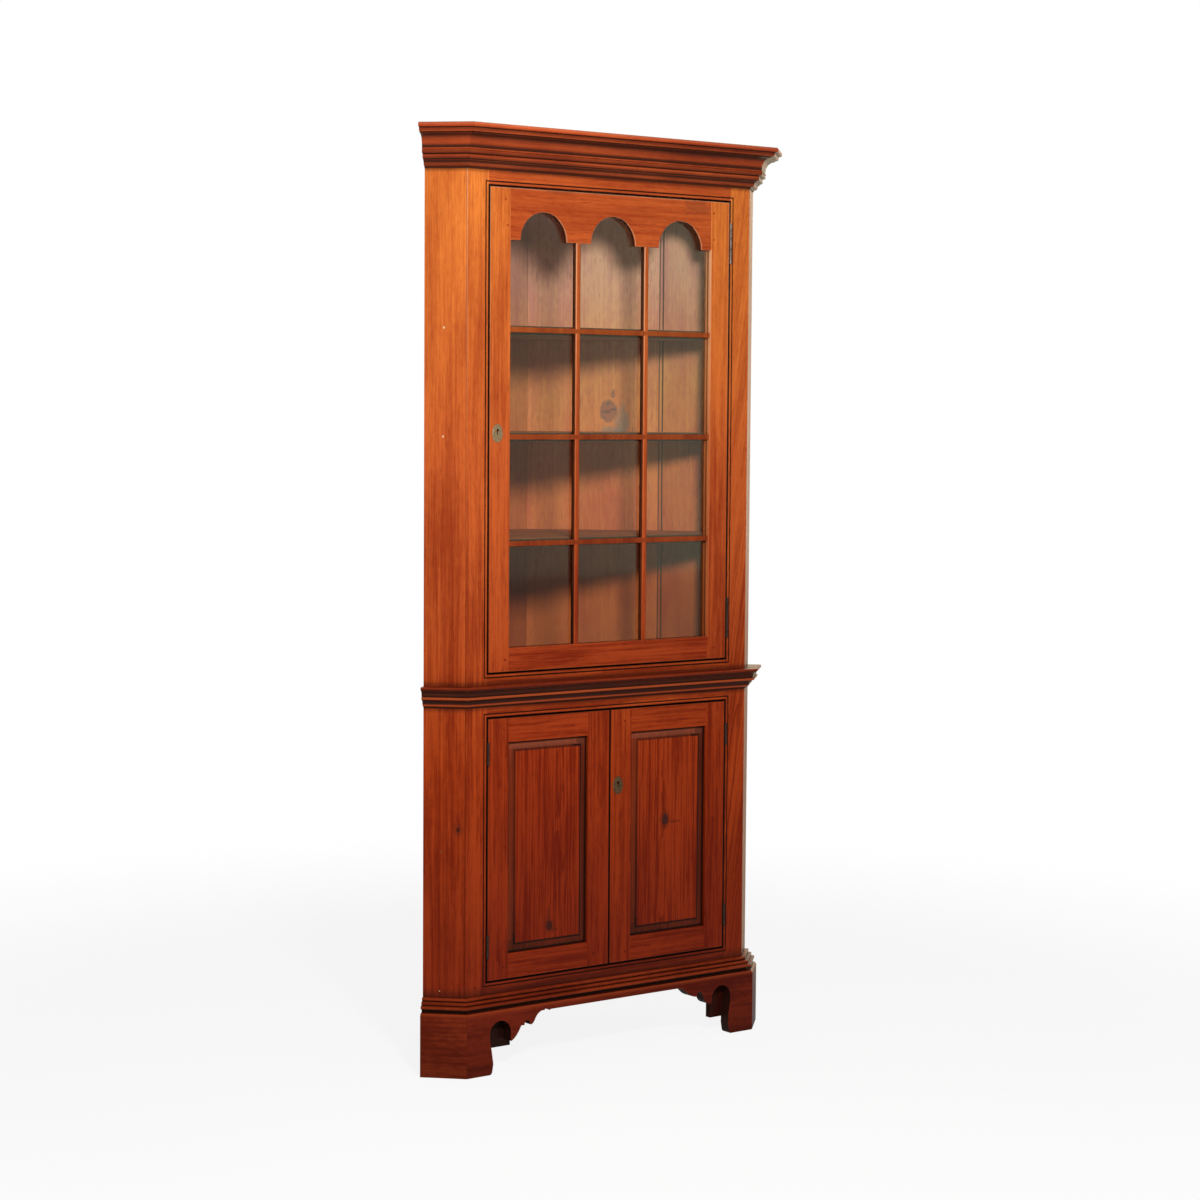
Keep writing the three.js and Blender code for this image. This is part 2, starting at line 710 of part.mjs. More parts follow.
const upperDoorBottom = upperOpeningBottom + doorGap;
const upperDoorTop = upperOpeningTop - doorGap;
const archSpring = upperDoorTop - archedRailHeight;
const glazingHalf = doorHalf - upperStileWidth;
const glassBack = glassLip + glassThickness + 2 * seatGap;
const archTop = archSpring + archRadius;
const glassRebate = archTop + glassCover;
const columnPitch = (2 * glazingHalf + barWidth) / lightColumns;
const uprightBarX = (column) => -glazingHalf + column * columnPitch - barWidth * half;
const lightCentreX = (column) => uprightBarX(column + 1) - columnPitch * half;

function buildArchedRail() {
  const outline = points([-glazingHalf, archSpring]);
  for (let column = 0; column < lightColumns; column += 1) {
    outline.push(...ellipsePoints(lightCentreX(column), archSpring, archRadius, archRadius,
      Math.PI, 0, 2 * archSteps));
  }
  outline.push(...points([glazingHalf, archSpring], [glazingHalf, upperDoorTop],
    [-glazingHalf, upperDoorTop]));
  const blank = prism(outline, "y", 0, doorThickness);
  const wide = [-glazingHalf - cutOverrun, glazingHalf + cutOverrun];
  const belowArch = archSpring - cutOverrun;
  const behind = box(wide, [glassLip, doorThickness + cutOverrun], [belowArch, glassRebate]);
  const slot = box(wide, [glassLip, glassBack], [belowArch, glassRebate + glassGroove]);
  return cut(blank, behind, slot);
}

// A glazing bar's section: a rounded nose towards the face and a square back against the glass
function barSection(centre) {
  const wide = barWidth * half;
  const narrow = barNoseWidth * half;
  const shape = new THREE.Shape();
  shape.moveTo(centre - wide, glassLip);
  shape.lineTo(centre - wide, barSetback + barNoseDepth);
  shape.quadraticCurveTo(centre - wide, barSetback, centre - narrow, barSetback);
  shape.lineTo(centre + narrow, barSetback);
  shape.quadraticCurveTo(centre + wide, barSetback, centre + wide, barSetback + barNoseDepth);
  shape.lineTo(centre + wide, glassLip);
  return shape.getPoints(arcSteps);
}

function buildGlazingBars() {
  const bars = [];
  for (let column = 1; column < lightColumns; column += 1) {
    bars.push(prism(barSection(uprightBarX(column)), "z", glazingBottom, archSpring));
  }
  for (let row = 1; row < lightRows; row += 1) {
    bars.push(prism(acrossRail(barSection(levelBarZ(row))), "x", -glazingHalf, glazingHalf));
  }
  return join(...bars);
}

function buildUpperDoor() {
  const leftEdge = -doorHalf;
  const stile = (sign) => prism(
    groovedSection(sign * doorHalf, sign * glazingHalf, glassLip, glassBack, glassGroove),
    "z", upperDoorBottom, upperDoorTop,
  );
  const lockStile = cut(stile(-1), lockRecess(leftEdge, upperLockZ),
    keyholeCut(leftEdge, upperLockZ, -cutOverrun, doorThickness - lockCaseDepth));
  addPiece(upperDoor, "upper_door_lock_stile", lockStile, framePine());
  addPiece(upperDoor, "upper_door_hinge_stile", stile(1), framePine());
  addPiece(upperDoor, "upper_door_arched_rail", buildArchedRail(), framePine());
  const bottomSection = groovedSection(upperDoorBottom, glazingBottom, glassLip, glassBack, glassGroove);
  const bottomRail = prism(acrossRail(bottomSection), "x", -glazingHalf, glazingHalf);
  addPiece(upperDoor, "upper_door_bottom_rail", bottomRail, framePine());
  addPiece(upperDoor, "upper_door_glazing_bars", buildGlazingBars(), framePine());
  const reach = glassGroove - glassEdgePlay;
  const glass = box([-glazingHalf - reach, glazingHalf + reach],
    [glassLip + seatGap, glassLip + seatGap + glassThickness],
    [glazingBottom - reach, glassRebate + reach]);
  addPiece(upperDoor, "upper_door_glass", glass, clearGlass());
  buildLock("upper_door", upperDoor, leftEdge, upperLockZ);
  buildHinges("upper_door", upperDoor, 1, upperDoorBottom, upperDoorTop, upperHingeLength,
    upperHingeInset, paleSteel);
}

// Panelled doors

const lowerDoorBottom = lowerOpeningBottom + doorGap;
const lowerDoorTop = lowerOpeningTop - doorGap;
const panelBottom = lowerDoorBottom + lowerBottomRailHeight;
const panelTop = lowerDoorTop - lowerTopRailHeight;
const meetingX = doorGap * half;
const panelEdgeY = panelFieldSetback + panelFieldStep + panelBevelDepth;
const panelBackY = panelEdgeY + panelEdgeThickness;
const grooveSlopeShare = panelGroove / (panelGroove + panelBevelWidth);
const grooveFrontY = panelEdgeY - panelBevelDepth * grooveSlopeShare - seatGap;
const grooveBackY = panelBackY + seatGap;

// A raised and fielded panel: a thin edge, a long bevel and a flat field
function raisedPanel(left, right) {
  const reach = panelGroove - panelEdgePlay;
  const outline = points([left - reach, panelBottom - reach], [right + reach, panelBottom - reach],
    [right + reach, panelTop + reach], [left - reach, panelTop + reach]);
  const middle = new THREE.Vector2((left + right) * half, (panelBottom + panelTop) * half);
  const insets = [0, 0, reach + panelBevelWidth, reach + panelBevelWidth];
  const depths = [panelBackY, panelEdgeY, panelFieldSetback + panelFieldStep, panelFieldSetback];
  return remap(rings(outline, depths.length - 1), (x, z, ring) => [
    x - Math.sign(x - middle.x) * insets[ring], depths[ring], z - Math.sign(z - middle.y) * insets[ring],
  ]);
}

function buildPanelDoor(prefix, group, sign) {
  const section = (outerEdge, innerEdge) =>
    groovedSection(outerEdge, innerEdge, grooveFrontY, grooveBackY, panelGroove);
  const upright = (outerEdge, innerEdge) =>
    prism(section(outerEdge, innerEdge), "z", lowerDoorBottom, lowerDoorTop);
  const outerX = sign * doorHalf;
  const hingeInnerX = sign * (doorHalf - outerStileWidth);
  const meetX = sign * meetingX;
  const meetInnerX = sign * (meetingX + meetingStileWidth);
  const [left, right] = [hingeInnerX, meetInnerX].sort((a, b) => a - b);
  addPiece(group, `${prefix}_hinge_stile`, upright(outerX, hingeInnerX), framePine());

  let meetingStile = upright(meetX, meetInnerX);
  if (sign > 0) {
    meetingStile = cut(meetingStile, lockRecess(meetX, lowerLockZ),
      keyholeCut(meetX, lowerLockZ, -cutOverrun, doorThickness - lockCaseDepth));
  } else {
    meetingStile = cut(meetingStile, boltPocket(meetX, lowerLockZ));
  }
  addPiece(group, `${prefix}_meeting_stile`, meetingStile, framePine());

  const bottomSection = acrossRail(section(lowerDoorBottom, panelBottom));
  addPiece(group, `${prefix}_bottom_rail`, prism(bottomSection, "x", left, right), framePine());
  const topSection = acrossRail(section(lowerDoorTop, panelTop));
  addPiece(group, `${prefix}_top_rail`, prism(topSection, "x", left, right), framePine());
  addPiece(group, `${prefix}_panel`, raisedPanel(left, right), panelPine());
  buildHinges(prefix, group, sign, lowerDoorBottom, lowerDoorTop, lowerHingeLength, lowerHingeInset,
    darkIron);
}

buildFaceFrame();
buildReturns();
buildBack();
buildLevelBoards();
buildMouldings();
buildApron();
buildFootReturns();
buildFootBlocks();
buildUpperDoor();
buildPanelDoor("left_door", leftDoor, -1);
buildPanelDoor("right_door", rightDoor, 1);
buildLock("right_door", rightDoor, meetingX, lowerLockZ);

// The origin is under the middle of the whole cupboard's box, on the floor.
cupboard.position.y = (corniceProjection - backY) * half;
cupboard.updateMatrixWorld(true);

export default cupboard;
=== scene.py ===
import json
from math import cos, pi, radians, sin, tan

import bpy
from mathutils import Matrix, Vector

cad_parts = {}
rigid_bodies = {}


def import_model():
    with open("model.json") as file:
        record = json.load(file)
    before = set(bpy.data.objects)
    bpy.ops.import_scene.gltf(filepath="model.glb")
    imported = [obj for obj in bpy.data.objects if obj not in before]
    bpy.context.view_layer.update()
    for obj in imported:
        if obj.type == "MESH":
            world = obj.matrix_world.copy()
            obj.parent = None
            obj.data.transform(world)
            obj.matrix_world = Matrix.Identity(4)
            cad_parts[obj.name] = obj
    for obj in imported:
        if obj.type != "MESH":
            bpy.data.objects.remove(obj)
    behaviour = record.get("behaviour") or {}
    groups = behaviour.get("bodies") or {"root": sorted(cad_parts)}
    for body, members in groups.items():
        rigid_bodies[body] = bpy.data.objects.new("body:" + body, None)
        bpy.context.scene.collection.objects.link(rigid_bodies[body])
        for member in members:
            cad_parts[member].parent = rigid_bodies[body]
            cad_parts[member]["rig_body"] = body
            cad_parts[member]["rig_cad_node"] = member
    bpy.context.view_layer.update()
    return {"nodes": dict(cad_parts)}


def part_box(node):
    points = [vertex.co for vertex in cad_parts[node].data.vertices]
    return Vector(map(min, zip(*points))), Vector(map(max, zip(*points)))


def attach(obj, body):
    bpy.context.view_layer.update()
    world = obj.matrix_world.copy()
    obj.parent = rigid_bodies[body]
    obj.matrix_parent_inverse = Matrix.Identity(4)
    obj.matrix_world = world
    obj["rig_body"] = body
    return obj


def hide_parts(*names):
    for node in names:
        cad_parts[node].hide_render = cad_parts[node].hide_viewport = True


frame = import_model()
nodes = frame["nodes"]
bpy.ops.object.select_all(action="DESELECT")

up = Vector((0, 0, 1))
right = Vector((1, 0, 0))
front = Vector((0, -1, 0))
rightSide = Vector((1, -1, 0)).normalized()
leftSide = Vector((-1, -1, 0)).normalized()
rightRun = Vector((1, 1, 0)).normalized()
leftRun = Vector((-1, 1, 0)).normalized()
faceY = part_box("left_frame_stile")[0].y  # the plane of the face
floorPoint = Vector((0, faceY, 0))


# Shader maths

class Wire:
    def __init__(self, maker, socket):
        self.maker = maker
        self.socket = socket

    def step(self, operation, *values):
        return self.maker.node("Math", {"operation": operation}, dict(enumerate(values)))

    def __add__(self, other):
        return self.step("ADD", self, other)

    __radd__ = __add__

    def __sub__(self, other):
        return self.step("SUBTRACT", self, other)

    def __rsub__(self, other):
        return self.step("SUBTRACT", other, self)

    def __mul__(self, other):
        return self.step("MULTIPLY", self, other)

    __rmul__ = __mul__

    def __truediv__(self, other):
        return self.step("DIVIDE", self, other)

    def __pow__(self, other):
        return self.step("POWER", self, other)

    def root(self):
        return self.step("SQRT", self)

    def fraction(self):
        return self.step("FRACT", self)

    def absolute(self):
        return self.step("ABSOLUTE", self)

    def most(self, other):
        return self.step("MAXIMUM", self, other)

    def least(self, other):
        return self.step("MINIMUM", self, other)

    def between(self, low, high):
        settings = {"interpolation_type": "SMOOTHSTEP"}
        return self.maker.node("MapRange", settings, {0: self, 1: low, 2: high})


class Maker:
    def __init__(self, tree):
        self.tree = tree
        self.tree.nodes.clear()

    def node(self, kind, settings=None, values=None, output=0):
        made = self.tree.nodes.new("ShaderNode" + kind)
        for name, value in (settings or {}).items():
            if name == "stops":
                ramp = made.color_ramp
                while len(ramp.elements) < len(value):
                    ramp.elements.new(0.5)
                for element, (place, colour) in zip(ramp.elements, value):
                    element.position = place
                    element.color = (*colour, 1)
            else:
                setattr(made, name, value)
        for name, value in (values or {}).items():
            socket = made.inputs[name]
            if isinstance(value, Wire):
                self.tree.links.new(value.socket, socket)
            else:
                socket.default_value = value
        return Wire(self, made.outputs[output])

    def vector(self, operation, first, second, output=0):
        return self.node("VectorMath", {"operation": operation}, {0: first, 1: second}, output)

    def parts(self, vector):
        made = self.node("SeparateXYZ", None, {0: vector})
        return [Wire(self, s) for s in made.socket.node.outputs]

    def noise(self, vector, scales, detail=2.0, rough=0.5):
        stretched = self.vector("MULTIPLY", vector, scales)
        values = {"Vector": stretched, "Scale": 1.0, "Detail": detail, "Roughness": rough}
        return self.node("TexNoise", None, values)

    def blend(self, factor, first, second, kind="MIX"):
        settings = {"data_type": "RGBA", "blend_type": kind}
        return self.node("Mix", settings, {0: factor, 6: first, 7: second}, 2)

    def show(self, shader, output="OutputMaterial"):
        out = self.tree.nodes.new("ShaderNode" + output)
        self.tree.links.new(shader.socket, out.inputs["Surface"])


def newMaterial(name):
    material = bpy.data.materials.new(name)
    material.use_nodes = True
    return material, Maker(material.node_tree)


# Pine, stained and varnished. Three attributes come with each board: grain is the place across, through
# and along the board from the heart of its tree, board is its seed, its stain and its figure, and the third
# is above 0 where the wood is darkened, by dark waxing and by painted shade in hollows, gaps and reveals,
# and below 0 where an arris is made pale, by worn edges and by painted highlight.

lineLook = {"solid": 0.6, "gone": 1.4, "shadeFrom": 0.025, "shadeTo": 0.018}


def lineMask(sideX, height, line):
    middleX, middleZ = line["middle"]
    halfX, halfZ = line["half"]
    gapX = (sideX - middleX).absolute() - halfX
    gapZ = (height - middleZ).absolute() - halfZ
    gap = gapX.most(gapZ).absolute()
    mask = 1.0 - gap.between(line["width"] * lineLook["solid"], line["width"] * lineLook["gone"])
    if "shaded" in line:  # painted shade: darker at the right and along the bottom, which face away from the lamp
        start, end = lineLook["shadeFrom"], lineLook["shadeTo"]
        toRight = (sideX - middleX).between(halfX - start, halfX - end)
        toBottom = (middleZ - height).between(halfZ - start, halfZ - end)
        mask = mask * (line["shaded"] + toRight.most(toBottom) * (1.0 - line["shaded"]))
    return mask * line["strength"]


def toneByHeight(m, height, tones, tallest):
    stops = [(z / tallest, shade) for z, shade in tones]
    return m.node("ValToRGB", {"stops": stops}, {0: height / tallest})


def pineMaterial(name, look):
    material, m = newMaterial(name)
    grain = m.node("Attribute", {"attribute_name": "grain"}, None, "Vector")
    board = m.node("Attribute", {"attribute_name": "board"}, None, "Vector")
    seed, stain, figure = m.parts(board)
    wear = m.node("Attribute", {"attribute_name": "wear"}, None, "Fac")
    place = m.node("TexCoord", output="Object")
    sideX, _, height = m.parts(place)
    spread = m.node("CombineXYZ", None, {0: seed * 3.1, 1: seed * 5.3, 2: seed * 7.7})
    moved = m.vector("ADD", grain, spread)

    drift = m.noise(moved, (5.0, 5.0, 1.1), 1.0)
    ripple = m.noise(moved, (38.0, 38.0, 5.0), 2.0)
    across, through, _ = m.parts(grain)
    bentAcross = across + (drift - 0.5) * look["wander"]
    bentThrough = through + (ripple - 0.5) * look["ripple"]
    radius = (bentAcross * bentAcross + bentThrough * bentThrough).root()
    ring = (radius / look["ringWidth"]).fraction()
    lateWood = ring ** 3.0

    fibres = m.noise(moved, (1100.0, 1100.0, 22.0), 2.0)
    streaks = m.noise(moved, (165.0, 165.0, 3.4), 4.0, 0.62)
    bands = m.noise(moved, (38.0, 38.0, 1.5), 2.0)
    clouds = m.noise(moved, (11.0, 11.0, 3.2), 3.0, 0.55)
    mottle = m.noise(moved, (120.0, 120.0, 46.0), 3.0, 0.6)
    flecks = m.noise(moved, (620.0, 620.0, 34.0), 1.0).between(0.64, 0.74)

    tone = toneByHeight(m, height, look["tones"], look["height"])
    pale = m.blend(1.0, tone, (*look["palePush"], 1), "MULTIPLY")
    dark = m.blend(1.0, tone, (*look["darkPush"], 1), "MULTIPLY")
    lines = ((streaks - 0.5) * look["streaks"] + (bands - 0.5) * look["bands"]
             + (lateWood - 0.3) * figure * look["rings"])
    lowness = 1.0 - height.between(*look["grainSpan"])  # the grain shows most low down
    strength = look["highGrain"] + lowness * (look["lowGrain"] - look["highGrain"])
    uneven = (clouds - 0.5) * look["clouds"] + (mottle - 0.5) * look["mottle"]
    depth = 0.5 + lines * strength + (fibres - 0.5) * look["fibres"] + uneven * (0.55 + strength * 0.6)
    colour = m.blend(depth.between(0.0, 1.0), pale, dark)
    stained = m.blend(1.0, colour, (*look["stainPush"], 1), "MULTIPLY")
    colour = m.blend(stain, colour, stained)
    colour = m.blend(flecks * look["flecks"], colour, (*look["fleckColour"], 1))

    if "profile" in look:  # light and dark bands by height on a moulding: painted shade and painted highlight, with some dark waxing
        low, high = look["profileSpan"]
        stops = [((z - low) / (high - low), (0.5 + amount / 2,) * 3) for z, amount in look["profile"]]
        laid = m.node("ValToRGB", {"stops": stops}, {0: (height - low) / (high - low)})
        wear = wear + (laid - 0.5) * 2.0
    # painted shade in bands along the frame where it meets the mouldings
    for middle, width in look.get("shadeBands", []):
        shadeBand = 1.0 - (height - middle).absolute().between(0.0, width)
        colour = m.blend(shadeBand * (0.35 + clouds * 0.5), colour, (*look["waxAndShadeColour"], 1))
    # pale arrises and lines: worn edges and painted highlight, and grey dust on the panel bevels
    highlightWearAndDust = wear.most(-1.0).least(0.0) * (-0.7 - (streaks - 0.5) * 0.9)
    if "highlightAndWearFade" in look:  # the pale arrises, worn edges and painted highlight, show least low down
        lowest, highest, least = look["highlightAndWearFade"]
        highlightWearAndDust = highlightWearAndDust * (least + height.between(lowest, highest) * (1.0 - least))
    for line in look.get("highlightWearAndDustLines", []):
        highlightWearAndDust = highlightWearAndDust.most(lineMask(sideX, height, line))
    highlightWearAndDustTone = toneByHeight(m, height, look["highlightWearAndDustTones"], look["height"])
    colour = m.blend(highlightWearAndDust.most(0.0), colour, highlightWearAndDustTone)
    # darkening: dark waxing, and painted shade in hollows, gaps, grooves and reveals
    shadingAndWear = wear.most(0.0) * (0.72 + clouds * 0.45)
    if "quirks" in look:  # the two quirks beside each bead of the back boards
        middle, apart, width = look["quirks"]
        quirk = 1.0 - ((across - middle).absolute() - apart).absolute().between(width * 0.5, width * 1.3)
        shadingAndWear = shadingAndWear.most(quirk * 0.9)
    for line in look.get("shadeLines", []):
        shadingAndWear = shadingAndWear.most(lineMask(sideX, height, line) * (0.8 + clouds * 0.4))
    colour = m.blend(shadingAndWear.least(0.96), colour, (*look["waxAndShadeColour"], 1))

    for knot in look.get("knots", []):
        gap = m.vector("SUBTRACT", place, knot["centre"])
        scaled = m.vector("DIVIDE", gap, knot["radii"])
        far = m.vector("LENGTH", scaled, (0, 0, 0), "Value") + (mottle - 0.5) * knot["ragged"]
        if "halo" in knot:
            swirl = (far * knot["turns"] + clouds * 1.5).fraction()
            halo = (1.0 - far.between(0.9, knot["reach"])) * (0.3 + swirl * 0.6)
            colour = m.blend((halo * knot["strength"]).least(1.0), colour, (*knot["halo"], 1))
            far = far + (clouds - 0.5) * 0.4
        core = 1.0 - far.between(0.7, 1.15)
        colour = m.blend(core * knot["strength"], colour, (*knot["core"], 1))
        if "rim" in knot:
            rim = 1.0 - (far - 0.95).absolute().between(0.05, 0.22)
            broken = rim * mottle.between(0.36, 0.6) * knot["strength"]
            colour = m.blend(broken, colour, (*knot["rim"], 1))

    sheen = look["rough"] + (fibres - 0.5) * 0.12 + (clouds - 0.5) * 0.16 + flecks * 0.1
    relief = fibres * 0.5 + lateWood * 0.35 + flecks * -0.8
    bump = m.node("Bump", None, {"Strength": look["bump"], "Distance": 0.0004, "Height": relief})
    values = {"Base Color": colour, "Roughness": sheen, "Normal": bump, "Coat Weight": look["coat"],
              "Coat Roughness": 0.22, "Specular IOR Level": look["shine"],
              "Specular Tint": (*look["shineTint"], 1)}
    m.show(m.node("BsdfPrincipled", None, values))
    return material


# The wood darkens towards the floor: partly the finish, partly painted shade for the light falling off
# towards the floor.
frameTones = [
    (0.1, (0.2, 0.017, 0.003)), (0.25, (0.207, 0.017, 0.003)), (0.7, (0.296, 0.0305, 0.0046)),
    (1.05, (0.38, 0.055, 0.0112)), (1.4, (0.48, 0.082, 0.0175)), (1.95, (0.66, 0.157, 0.027)),
]
# The mouldings darken towards the floor too, partly painted shade.
mouldingTones = [
    (0.0, (0.12, 0.012, 0.0032)), (0.14, (0.165, 0.016, 0.004)), (0.18, (0.195, 0.02, 0.0045)),
    (0.84, (0.29, 0.033, 0.0075)), (0.89, (0.27, 0.033, 0.008)), (2.04, (0.48, 0.074, 0.018)),
    (2.13, (0.54, 0.078, 0.019)),
]
pineLook = {
    "height": 2.134, "tones": frameTones, "wander": 0.03, "ripple": 0.012, "ringWidth": 0.0042,
    "streaks": 1.6, "bands": 0.9, "clouds": 1.0, "rings": 0.35, "fibres": 0.5, "mottle": 0.4, "flecks": 0.5,
    "palePush": (1.22, 1.45, 1.4), "darkPush": (0.62, 0.46, 0.48), "stainPush": (0.6, 0.3, 0.46),
    "fleckColour": (0.1, 0.012, 0.004), "waxAndShadeColour": (0.012, 0.004, 0.003),
    "highGrain": 0.55, "lowGrain": 1.25, "grainSpan": (0.7, 1.7),
    # pale arrises, brighter towards the top: worn edges and painted highlight
    "highlightWearAndDustTones": [(0.1, (0.3, 0.045, 0.01)), (0.86, (0.52, 0.11, 0.028)), (1.4, (0.68, 0.22, 0.08)),
                    (2.0, (0.92, 0.56, 0.34))],
    "rough": 0.36, "bump": 0.25, "coat": 0.04, "shine": 0.12, "shineTint": (1.0, 0.66, 0.4),
}


def paintedLine(middle, half, width, strength, **more):
    return {"middle": middle, "half": half, "width": width, "strength": strength, **more}


def knotAt(centre, radii, ragged, core, strength, **more):  # its depth is given from the face
    x, deep, z = centre
    return {"centre": (x, faceY + deep, z), "radii": radii, "ragged": ragged, "core": core,
            "strength": strength, **more}


barLevels = (1.2035, 1.4452, 1.6869)
# Painted shade in the gaps round the doors, in the quirks beside the frame's beads and at the meeting
# stiles, with dark waxing
doorShadeLines = [
    paintedLine((0.0, 1.4585), (0.3478, 0.5466), 0.0027, 1.1),
    paintedLine((0.0, 0.509), (0.3478, 0.3021), 0.0029, 1.1),
    paintedLine((0.0, 1.4585), (0.3569, 0.5557), 0.0015, 1.0),
    paintedLine((0.0, 0.509), (0.3569, 0.3112), 0.0015, 1.0),
    paintedLine((0.0, 0.509), (0.0001, 0.3007), 0.0026, 1.0),
    paintedLine((0.0, 0.092), (0.52, 0.0001), 0.036, 1.2),  # painted shade on the frame low down behind the apron
]
for barZ in barLevels:  # the level bars are darker than the uprights
    doorShadeLines.append(paintedLine((0.0, barZ), (0.284, 0.0001), 0.0045, 0.42))
# A painted highlight along the front edge of the upper door's right reveal, and pale lines along the door
# arrises, worn edges and painted highlight
doorHighlightsAndWear = [
    paintedLine((0.2913, 1.4277), (0.0001, 0.459), 0.0018, 0.4),
    paintedLine((0.0, 1.4585), (0.3449, 0.5437), 0.0008, 0.4),
    paintedLine((0.0, 0.509), (0.3449, 0.2992), 0.0008, 0.3),
]
panelShadeLines = []
panelDustAndHighlight = []
for panelX in (-0.1762, 0.1762):
    panelMiddle = (panelX, 0.5095)
    # painted shade in the groove round each panel, on its right and bottom bevels and at the step of its
    # field, with dark waxing
    panelShadeLines += [
        paintedLine(panelMiddle, (0.1132, 0.2432), 0.0062, 1.15, shaded=0.7),
        paintedLine(panelMiddle, (0.1032, 0.2332), 0.009, 0.55, shaded=0.05),
        paintedLine(panelMiddle, (0.0932, 0.2232), 0.0025, 1.1, shaded=0.6),
    ]
    # grey dust on each panel's bevels, and a painted highlight on its top bevel
    panelDustAndHighlight += [
        paintedLine(panelMiddle, (0.1032, 0.2332), 0.008, 0.2),
        paintedLine((panelX, 0.7427), (0.101, 0.0001), 0.0075, 0.6),
    ]
frameKnots = [
    knotAt((-0.4189, 0.0109, 0.5619), (0.0052, 0.0052, 0.007), 0.8, (0.05, 0.009, 0.005), 0.9,
           reach=3.2, turns=1.0, halo=(0.11, 0.014, 0.005)),
    knotAt((-0.4467, 0.0387, 0.5107), (0.0026, 0.0026, 0.0034), 0.3, (0.16, 0.055, 0.03), 0.6),
    knotAt((0.248, 0.0, 1.985), (0.04, 0.006, 0.016), 3.0, (0.19, 0.04, 0.016), 0.42),
    knotAt((-0.154, 0.0, 2.0), (0.042, 0.006, 0.005), 2.4, (0.2, 0.045, 0.016), 0.4),
]
for x, deep, z, size in ((-0.4442, 0.0362, 1.6878, 0.0022), (-0.4453, 0.0373, 1.4459, 0.002),
                         (-0.4486, 0.0406, 0.193, 0.0012)):
    frameKnots.append(knotAt((x, deep, z), (size, size, size * 1.3), 0.3, (0.8, 0.62, 0.42), 0.7))
keyholeLook = {"rise": 0.005, "radii": (0.008, 0.006, 0.0125), "core": (0.01, 0.005, 0.004),
               "ragged": 0.05, "strength": 0.97}
for plate in ("upper_door_escutcheon", "right_door_escutcheon"):  # painted shade on the stile behind each keyhole, in place of a hole bored through it
    low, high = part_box(plate)
    holeZ = (low.z + high.z) / 2 + keyholeLook["rise"]
    frameKnots.append({**keyholeLook, "centre": ((low.x + high.x) / 2, faceY, holeZ)})
panelKnots = [
    knotAt((-0.1725, 0.004, 0.34), (0.005, 0.04, 0.022), 1.0, (0.06, 0.008, 0.004), 0.5),
    knotAt((-0.16, 0.004, 0.308), (0.014, 0.04, 0.005), 1.2, (0.06, 0.008, 0.004), 0.45),
    knotAt((-0.1709, 0.004, 0.318), (0.0082, 0.04, 0.0095), 0.6, (0.04, 0.009, 0.006), 0.9,
           reach=2.6, turns=1.6, halo=(0.08, 0.01, 0.004), rim=(0.012, 0.004, 0.003)),
    knotAt((0.1684, 0.004, 0.5359), (0.0088, 0.04, 0.0125), 0.5, (0.045, 0.012, 0.01), 0.95,
           reach=2.4, turns=1.4, halo=(0.07, 0.009, 0.004), rim=(0.01, 0.004, 0.004)),
    knotAt((0.195, 0.004, 0.529), (0.018, 0.04, 0.004), 1.2, (0.06, 0.008, 0.004), 0.4),
]
backKnots = [
    knotAt((0.243, 0.2838, 1.477), (0.018, 0.018, 0.046), 1.5, (0.26, 0.23, 0.19), 0.72),
    knotAt((0.224, 0.3028, 1.456), (0.025, 0.025, 0.016), 1.5, (0.26, 0.23, 0.19), 0.68),
    knotAt((0.2208, 0.306, 1.506), (0.021, 0.021, 0.027), 2.0, (0.32, 0.125, 0.1), 0.8, reach=2.1,
           turns=1.1, halo=(0.9, 0.33, 0.1), rim=(0.15, 0.11, 0.1)),
    knotAt((0.216, 0.3108, 1.504), (0.011, 0.011, 0.004), 2.2, (0.14, 0.09, 0.08), 0.65),
    knotAt((0.229, 0.2978, 1.51), (0.009, 0.009, 0.0036), 2.2, (0.14, 0.09, 0.08), 0.6),
    knotAt((0.2275, 0.2993, 1.548), (0.006, 0.006, 0.012), 1.8, (0.16, 0.11, 0.09), 0.65),
]
backLook = {
    **pineLook,
    # darker towards the floor, partly painted shade
    "tones": [(0.3, (0.2, 0.045, 0.014)), (1.05, (0.54, 0.12, 0.034)), (1.3, (0.75, 0.197, 0.066)),
              (1.58, (0.8, 0.322, 0.114)), (1.85, (0.8, 0.41, 0.305)), (2.05, (0.76, 0.375, 0.285))],
    "palePush": (1.06, 1.2, 1.02), "darkPush": (0.84, 0.7, 0.8), "stainPush": (0.6, 0.5, 0.5),
    "fleckColour": (0.16, 0.07, 0.04), "rough": 0.58, "bump": 0.4, "coat": 0.0, "shine": 0.2, "rings": 0.3,
    "streaks": 1.2, "bands": 0.4, "clouds": 1.9, "mottle": 0.9, "waxAndShadeColour": (0.05, 0.028, 0.016),
    "knots": backKnots, "quirks": (-0.0983, 0.0045, 0.0019), "highGrain": 0.9, "lowGrain": 0.9,
}


# Bands across a moulding by height: above 0 painted shade with some dark waxing, below 0 painted highlight
# with worn edges.
def profileLines(bottom, height, shares):
    return [(bottom + share * height, amount) for share, amount in shares]


